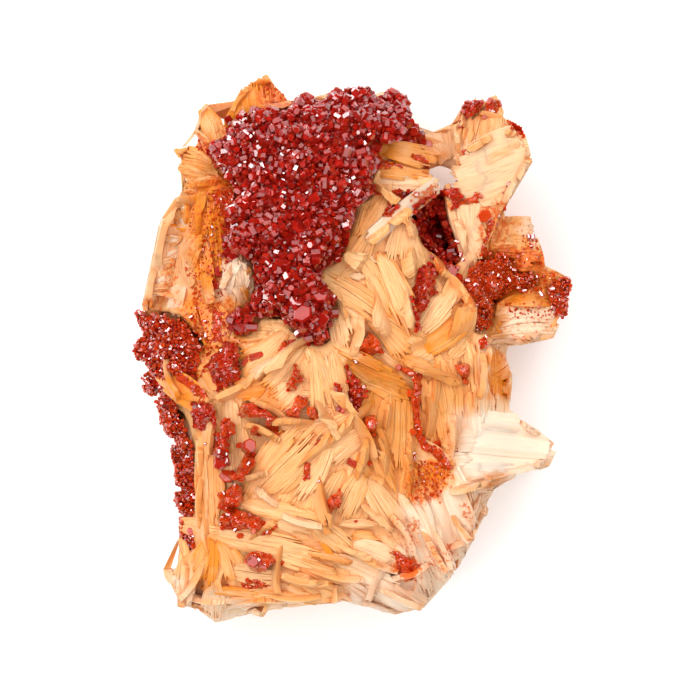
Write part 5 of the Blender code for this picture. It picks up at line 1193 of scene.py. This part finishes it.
def barite_material(colours):
    shader = Shader("barite_blades")
    grain_vector = shader.node("ShaderNodeCombineXYZ")
    shader.link(shader.mark("grain_u"), grain_vector.inputs[0])
    shader.link(shader.math("MULTIPLY", shader.mark("grain_v"), 0.06), grain_vector.inputs[1])
    grain = shader.noise(3.6, 2.0, grain_vector.outputs[0])
    hair = shader.noise(8.0, 2.0, grain_vector.outputs[0])
    cloud = shader.noise(170.0, 4.0)
    fine = shader.noise(900.0, 4.0)
    cream = shader.mark("cream")
    share = shader.math("ADD", shader.math("MULTIPLY", shader.mark("tone"), 0.4), 0.4)
    share = shader.math("ADD", share, shader.math("MULTIPLY", shader.math("SUBTRACT", cloud, 0.5), 0.5))
    share = shader.math("ADD", share, shader.math("MULTIPLY", shader.math("SUBTRACT", hair, 0.5), 1.6), True)
    colour = shader.mix(share, tuple(colours.peach), tuple(colours.light))
    colour = shader.mix(cream, colour, tuple(colours.cream))
    brown = shader.math("MULTIPLY", shader.mark("brown"), shader.spread(cloud, 0.25, 0.55))
    colour = shader.mix(brown, colour, tuple(colours.brown))
    orange = shader.mark("orange")
    patchy = shader.math("ADD", shader.math("MULTIPLY", shader.spread(cloud, 0.32, 0.60), 0.7), 0.5)
    patchy = shader.math("ADD", patchy, shader.math("MULTIPLY", shader.math("SUBTRACT", hair, 0.5), 0.8))
    colour = shader.mix(shader.math("MULTIPLY", orange, patchy, True), colour, tuple(colours.orange))
    lines = shader.math("MULTIPLY", shader.spread(grain, 0.55, 0.66), 0.6)
    lines = shader.math("MULTIPLY", lines, shader.spread(cream, 1.2, 0.0))
    colour = shader.mix(lines, colour, tuple(colours.groove))
    deep = shader.math("MULTIPLY", shader.mark("groove"), shader.spread(cream, 1.6, 0.2))
    colour = shader.mix(shader.math("MULTIPLY", deep, 0.6), colour, tuple(colours.groove))
    dust = shader.math("SUBTRACT", shader.noise(1300.0, 4.0), shader.math("MULTIPLY", shader.mark("red"), 0.3))
    dust = shader.math("MULTIPLY", shader.spread(dust, 0.38, 0.28), shader.spread(shader.mark("red"), 0.02, 0.2))
    colour = shader.mix(shader.math("MULTIPLY", dust, 0.85), colour, (0.72, 0.13, 0.014, 1.0))
    surface = shader.surface
    shader.link(colour, surface.inputs["Base Color"])
    surface.inputs["Roughness"].default_value = 0.36
    surface.inputs["IOR"].default_value = 1.64
    surface.inputs["Specular IOR Level"].default_value = 0.3
    surface.inputs["Subsurface Weight"].default_value = 0.3
    surface.inputs["Subsurface Radius"].default_value = (1.0, 0.75, 0.55)
    surface.inputs["Subsurface Scale"].default_value = 0.0006
    bump = shader.node("ShaderNodeBump")
    bump.inputs["Strength"].default_value = 0.25
    bump.inputs["Distance"].default_value = 0.00008
    shader.link(shader.math("ADD", grain, shader.math("MULTIPLY", fine, 0.3)), bump.inputs["Height"])
    shader.link(bump.outputs[0], surface.inputs["Normal"])
    return shader.material


def vanadinite_material(colours):
    shader = Shader("vanadinite_crystals")
    cloud = shader.noise(500.0, 3.0)
    tone = shader.math("ADD", shader.math("MULTIPLY", shader.mark("tone"), 0.5), 0.55)
    tone = shader.math("ADD", tone, shader.math("SUBTRACT", cloud, 0.5), True)
    colour = shader.mix(tone, tuple(colours.dark_red), tuple(colours.red))
    colour = shader.mix(shader.mark("orange"), colour, tuple(colours.orange_red))
    # The groove mark darkens the crystals towards their feet: painted shade.
    colour = shader.mix(shader.math("MULTIPLY", shader.mark("groove"), 0.5), colour, tuple(colours.dark_red))
    surface = shader.surface
    shader.link(colour, surface.inputs["Base Color"])
    rough = shader.math("ADD", shader.math("MULTIPLY", shader.noise(1500.0, 2.0), 0.2), 0.04)
    shader.link(rough, surface.inputs["Roughness"])
    surface.inputs["IOR"].default_value = 2.1
    surface.inputs["Subsurface Weight"].default_value = 0.75
    surface.inputs["Subsurface Radius"].default_value = (1.0, 0.12, 0.05)
    surface.inputs["Subsurface Scale"].default_value = 0.0009
    return shader.material


def palette():
    colours = bpy.context.scene.specimen_colours
    return barite_material(colours), vanadinite_material(colours)


LEFT_SHEAVES = "barite_left_sheaves"
RIGHT_SHEAVES = "barite_right_sheaves"
PLATE_PIECE = "barite_plate_sheaves"
SMALL_SHEAVES = "barite_small_sheaves"


class SPECIMEN_OT_barite_body(bpy.types.Operator):
    """Rough barite that shows between the blades and on the cut underside"""
    bl_idname = "specimen.barite_body"
    bl_label = "Barite body"

    def execute(self, context):
        barite, _ = palette()
        body = base_copy("barite_body", MATRIX, 0.00085, 0.00035, barite, 0.0002, 5)
        settle(body, "barite", MATRIX)
        return {"FINISHED"}


class SPECIMEN_OT_blade_sheaves(bpy.types.Operator):
    """Sheaves of thin barite blades on the crown, the plates and the fins"""
    bl_idname = "specimen.blade_sheaves"
    bl_label = "Blade sheaves"

    def execute(self, context):
        barite, _ = palette()
        sizes = context.scene.specimen_sizes
        chance = random.Random(sizes.seed)
        left = [row for row in CROWN_SHEAVES if row[0][0] + row[1][0] < -4]
        right = [row for row in CROWN_SHEAVES if row[0][0] + row[1][0] >= -4]
        for name, rows in ((LEFT_SHEAVES, left), (RIGHT_SHEAVES, right), (PLATE_PIECE, PLATE_SHEAVES)):
            pile = Pile()
            lay_sheaves(pile, chance, rows, sizes.blade_pitch)
            if name == PLATE_PIECE:
                self.stack(pile, chance, sizes.blade_pitch)
            tuck_in(pile)
            settle(pile.piece(name, barite, True), "barite", MATRIX)
        return {"FINISHED"}

    def stack(self, pile, chance, pitch):
        """Blade ends piled like the leaves of a book."""
        low, high, count = BLADE_STACK["low"], BLADE_STACK["high"], BLADE_STACK["blades"]
        for index in range(count):
            share = (index + 0.5) / count
            x = low[0] + (high[0] - low[0]) * share + chance.uniform(-0.3, 0.3)
            y = low[1] + (high[1] - low[1]) * share
            reach = BLADE_STACK["reach"] * chance.uniform(0.5, 1.15)
            coat = BLADE_STACK["coats"][index % len(BLADE_STACK["coats"])]
            y += chance.uniform(-0.5, 0.5)
            row = ((x, y), (x - reach, y + chance.uniform(-1.8, 1.2)), chance.uniform(0.6, 1.7),
                   chance.uniform(0.6, 2.4), chance.choice(("plate", "leaf")), coat)
            lay_sheaves(pile, chance, [row], pitch * 0.8)


class SPECIMEN_OT_small_sheaves(bpy.types.Operator):
    """Small sheaves of barite in the spaces between the large ones"""
    bl_idname = "specimen.small_sheaves"
    bl_label = "Small sheaves"

    def execute(self, context):
        barite, _ = palette()
        sizes = context.scene.specimen_sizes
        chance = random.Random(sizes.seed + 7)
        laid = surfaces_of((LEFT_SHEAVES, RIGHT_SHEAVES, PLATE_PIECE))
        pile = Pile()
        for spot, normal in face_spots([MATRIX], chance, sizes.filler_spacing, lambda p, n: n.z > 0.45, 60000):
            x, y = spot.x / MM, spot.y / MM
            over = drop(spot.x, spot.y, laid)[0]
            covered = over is not None and over.z > spot.z - 0.1 * MM
            if covered or inside(x, y, THROUGH_GAP) or inside(x, y, CLEFT) or not open_to_air(spot, normal):
                continue
            start, end = nearest_row(x, y)[:2]
            way = math.atan2(end[1] - start[1], end[0] - start[0]) + chance.gauss(0.0, 0.10)
            half = chance.uniform(3.4, 5.6)
            dx, dy = math.cos(way) * half, math.sin(way) * half
            if flat_distance(GAP_MIDDLE, (x - dx, y - dy), (x + dx, y + dy)) < GAP_CLEAR:
                continue
            coat = "pale" if stains_and_shade_at(np.array([spot]))["cream"][0] > CREAMY else "peach"
            leaf(pile, chance, laid_spine((x - dx, y - dy), (x + dx, y + dy), chance.uniform(-0.35, 0.0)),
                 RELIEF.normal(spot.x, spot.y), chance.uniform(3.6, 5.2) * MM, "leaf", coat,
                 sizes.blade_pitch * 1.1, slant=chance.uniform(-0.08, 0.08), most_rows=8)
        tuck_in(pile)
        settle(pile.piece(SMALL_SHEAVES, barite, True), "barite", MATRIX)
        return {"FINISHED"}


class SPECIMEN_OT_flank_sheaves(bpy.types.Operator):
    """Broken blades round the sides and under the rim"""
    bl_idname = "specimen.flank_sheaves"
    bl_label = "Flank sheaves"

    def execute(self, context):
        barite, _ = palette()
        sizes = context.scene.specimen_sizes
        chance = random.Random(sizes.seed + 1)
        spots = face_spots([MATRIX], chance, sizes.flank_spacing, lambda p, n: -0.92 < n.z < 0.5, 40000)
        for name, front in (("barite_front_flank", True), ("barite_back_flank", False)):
            pile = Pile()
            for spot, normal in spots:
                in_gap = gap_distance(spot) < GAP_ROOM
                if (spot.y < 0) != front or spot.z < 0.003 or in_gap or not open_to_air(spot, normal):
                    continue
                level = Vector((0, 0, 1)).cross(normal).normalized()
                steep = normal.cross(level)
                turn = noise.noise(spot * 40.0) * 3.0 + chance.gauss(0.0, 0.08)
                along = level * math.cos(turn) + steep * math.sin(turn)
                half = chance.uniform(4.4, 7.4) * MM
                spine = bent_spine(spot - along * half - normal * 0.9 * MM, spot + normal * 0.1 * MM,
                                   spot + along * half - normal * 0.5 * MM)
                coat = chance.choices(("peach", "pale", "lined", "white"), (6, 6, 2, 1))[0]
                leaf(pile, chance, spine, normal, chance.uniform(4.8, 7.4) * MM,
                     chance.choice(("leaf", "leaf", "plate")), coat, sizes.blade_pitch * 1.5, most_rows=8,
                     slant=chance.uniform(-0.12, 0.12))
            tuck_in(pile)
            settle(pile.piece(name, barite, True), "barite", MATRIX)
        return {"FINISHED"}


class SPECIMEN_OT_main_cluster(bpy.types.Operator):
    """The large crust of red crystals and its tongue"""
    bl_idname = "specimen.main_cluster"
    bl_label = "Main cluster"

    def execute(self, context):
        _, red = palette()
        sizes = context.scene.specimen_sizes
        chance = random.Random(sizes.seed + 2)
        settle(base_copy("vanadinite_main_ground", MAIN_CLUSTER, 0.0007, 0.0005, red, 0.0003, 2),
               "vanadinite", MAIN_CLUSTER)
        pile = Pile()
        spots = face_spots([MAIN_CLUSTER], chance, sizes.crystal_spacing * 1.25, lambda p, n: n.z > -0.5, 60000)
        grow_bed(pile, chance, spots, (0.25, 0.75, 0.4), 0.02, 0.04)
        settle(pile.piece("vanadinite_main_bed", red), "vanadinite", MAIN_CLUSTER)
        pile = Pile()
        spots = face_spots([MAIN_CLUSTER], chance, 0.0013, lambda p, n: n.z > -0.2, 25000)
        grow_prisms(pile, chance, spots, (0.5, 1.05, 0.65), 0.0)
        settle(pile.piece("vanadinite_main_prisms", red), "vanadinite", MAIN_CLUSTER)
        return {"FINISHED"}


class SPECIMEN_OT_side_druses(bpy.types.Operator):
    """The crusts of small crystals down the left flank, on the right slabs and in the cleft"""
    bl_idname = "specimen.side_druses"
    bl_label = "Side druses"

    def execute(self, context):
        _, red = palette()
        sizes = context.scene.specimen_sizes
        for node, radii, spacing, orange, shiny in [
            (LEFT_DRUSE, (0.18, 0.55, 0.3), 1.0, 0.5, 0.09),
            (RIGHT_DRUSE, (0.14, 0.44, 0.25), 0.95, 0.75, 0.05),
            (SLAB_DRUSE, (0.14, 0.46, 0.26), 0.95, 0.75, 0.05),
            (CLEFT_CRUST, (0.3, 0.9, 0.5), 1.4, -0.05, 0.06),
        ]:
            chance = random.Random(sizes.seed + len(node))
            settle(base_copy(node + "_ground", node, 0.0007, 0.0004, red, 0.0003, 2), "vanadinite", node)
            spots = face_spots([node], chance, sizes.crystal_spacing * spacing, lambda p, n: n.z > -0.6, 30000)
            pile = Pile()
            grow_bed(pile, chance, spots, radii, orange, shiny, tones=(-1.2, 0.6) if orange < 0 else (-1.4, 0.7))
            settle(pile.piece(node + "_crystals", red), "vanadinite", node)
        return {"FINISHED"}


class SPECIMEN_OT_scattered(bpy.types.Operator):
    """Patches of crystals and lone crystals on the blades"""
    bl_idname = "specimen.scattered"
    bl_label = "Scattered crystals"

    def execute(self, context):
        _, red = palette()
        chance = random.Random(context.scene.specimen_sizes.seed + 5)
        trees = [EVERYTHING] + surfaces_of((LEFT_SHEAVES, RIGHT_SHEAVES, PLATE_PIECE, SMALL_SHEAVES))
        pile = Pile()
        for outline, grade in PATCHES:
            scatter_patch(pile, chance, outline, grade, trees)
        for (x, y), radius, stand, lean, orange in LONE_CRYSTALS:
            place = foothold(x, y, trees)
            turn = upright(chance, Vector((lean[0], lean[1], 1)))
            foot = place + Vector((0, 0, stand * MM)) - turn.col[2] * radius * 2.4 * MM
            crystal(pile, chance, foot, turn, radius * MM, radius * 2.4 * MM, 0.5, orange)
        for start, end, radius, orange in LYING_CRYSTALS:
            start, end = (foothold(x, y, trees) for x, y in (start, end))
            turn = lying(chance, Vector((-0.1, 0.15, 1)), end - start)
            foot = start + Vector((0, 0, radius * 0.4 * MM))
            crystal(pile, chance, foot, turn, radius * MM, (end - start).length, 0.6, orange, 1.0)
        for index in range(TONGUE_ROW["crystals"]):
            share = index / (TONGUE_ROW["crystals"] - 1)
            x, y = (a + (b - a) * share for a, b in zip(TONGUE_ROW["first"], TONGUE_ROW["last"]))
            place = foothold(x, y, trees)
            turn = lying(chance, Vector((0, -0.35, 1)), Vector((chance.uniform(-0.2, 0.2), 1, 0)))
            crystal(pile, chance, place - turn.col[2] * 0.7 * MM, turn, TONGUE_ROW["radius"] * MM, 1.5 * MM,
                    0.8, 0.0, 1.0)
        for x, y in SHINY_PLACES:
            place = foothold(x, y, trees)
            turn = lying(chance, shiny_way(chance))
            radius = chance.uniform(0.26, 0.44) * MM
            foot = place + Vector((0, 0, radius * 0.8 + 0.4 * MM)) - turn.col[2] * radius
            crystal(pile, chance, foot, turn, radius, radius * chance.uniform(1.8, 2.6), 0.5, 0.1, 1.0)
        settle(pile.piece("vanadinite_scattered_crystals", red), "vanadinite", *GROUP_NODES)
        return {"FINISHED"}


class SPECIMEN_OT_stage(bpy.types.Operator):
    """White floor, soft studio lights and the camera straight above"""
    bl_idname = "specimen.stage"
    bl_label = "Stage"

    def execute(self, context):
        stage = context.scene.specimen_stage
        half = stage.floor_size / 2
        mesh = bpy.data.meshes.new("floor")
        mesh.from_pydata([(-half, -half, 0), (half, -half, 0), (half, half, 0), (-half, half, 0)], [], [[0, 1, 2, 3]])
        shader = Shader("white_floor")
        paper = shader.noise(40.0, 2.0)
        shade = shader.mix(shader.math("MULTIPLY", paper, 0.04), (0.93, 0.93, 0.93, 1.0), (0.9, 0.9, 0.9, 1.0))
        shader.link(shade, shader.surface.inputs["Base Color"])
        shader.surface.inputs["Roughness"].default_value = 0.9
        shader.surface.inputs["Specular IOR Level"].default_value = 0.1
        shader.surface.inputs["Emission Color"].default_value = (1.0, 1.0, 1.0, 1.0)
        shader.surface.inputs["Emission Strength"].default_value = stage.glow
        mesh.materials.append(shader.material)
        floor = bpy.data.objects.new("floor", mesh)
        context.scene.collection.objects.link(floor)
        for name, place, size, radiance, mirrored in LAMPS:
            data = bpy.data.lights.new(name, "AREA")
            data.shape = "RECTANGLE"
            data.size, data.size_y = size
            data.energy = radiance * math.pi * size[0] * size[1]
            lamp = bpy.data.objects.new(name, data)
            lamp.location = place
            lamp.visible_glossy = mirrored
            if mirrored:
                lamp.rotation_euler = (-Vector(place)).to_track_quat("-Z", "Y").to_euler()
            context.scene.collection.objects.link(lamp)
        world = bpy.data.worlds.new("studio")
        world.use_nodes = True
        world.node_tree.nodes["Background"].inputs["Color"].default_value = (1.0, 1.0, 1.0, 1.0)
        world.node_tree.nodes["Background"].inputs["Strength"].default_value = 0.15
        world.cycles_visibility.glossy = False
        context.scene.world = world
        camera_data = bpy.data.cameras.new("camera")
        camera_data.lens = stage.lens
        camera_data.sensor_width = 36.0
        camera_data.clip_end = 10.0
        camera = bpy.data.objects.new("camera", camera_data)
        rim = 0.018
        camera.location = (-0.0002, -0.0002, rim + stage.field * stage.lens / camera_data.sensor_width)
        context.scene.collection.objects.link(camera)
        context.scene.camera = camera
        context.scene.view_settings.view_transform = "Standard"
        return {"FINISHED"}


class SPECIMEN_PT_panel(bpy.types.Panel):
    """The specimen's pieces, in the order in which they are made"""
    bl_idname = "SPECIMEN_PT_panel"
    bl_label = "Vanadinite Specimen"
    bl_space_type = "VIEW_3D"
    bl_region_type = "UI"
    bl_category = "Specimen"

    def draw(self, context):
        column = self.layout.column(align=True)
        for operator in OPERATORS:
            column.operator(operator.bl_idname)
        for group in ("specimen_sizes", "specimen_colours", "specimen_stage"):
            settings = getattr(context.scene, group)
            for key in settings.bl_rna.properties.keys():
                if key not in ("rna_type", "name"):
                    self.layout.prop(settings, key)


OPERATORS = (
    SPECIMEN_OT_barite_body, SPECIMEN_OT_blade_sheaves, SPECIMEN_OT_small_sheaves, SPECIMEN_OT_flank_sheaves,
    SPECIMEN_OT_main_cluster, SPECIMEN_OT_side_druses, SPECIMEN_OT_scattered, SPECIMEN_OT_stage,
)
GROUPS = (SpecimenColours, SpecimenSizes, SpecimenStage)


def register():
    for group in GROUPS + OPERATORS + (SPECIMEN_PT_panel,):
        bpy.utils.register_class(group)
    bpy.types.Scene.specimen_colours = PointerProperty(type=SpecimenColours)
    bpy.types.Scene.specimen_sizes = PointerProperty(type=SpecimenSizes)
    bpy.types.Scene.specimen_stage = PointerProperty(type=SpecimenStage)


def unregister():
    del bpy.types.Scene.specimen_stage
    del bpy.types.Scene.specimen_sizes
    del bpy.types.Scene.specimen_colours
    for group in reversed(GROUPS + OPERATORS + (SPECIMEN_PT_panel,)):
        bpy.utils.unregister_class(group)


def main():
    register()
    for operator in OPERATORS:
        family, name = operator.bl_idname.split(".")
        getattr(getattr(bpy.ops, family), name)()


if __name__ == "__main__":
    main()
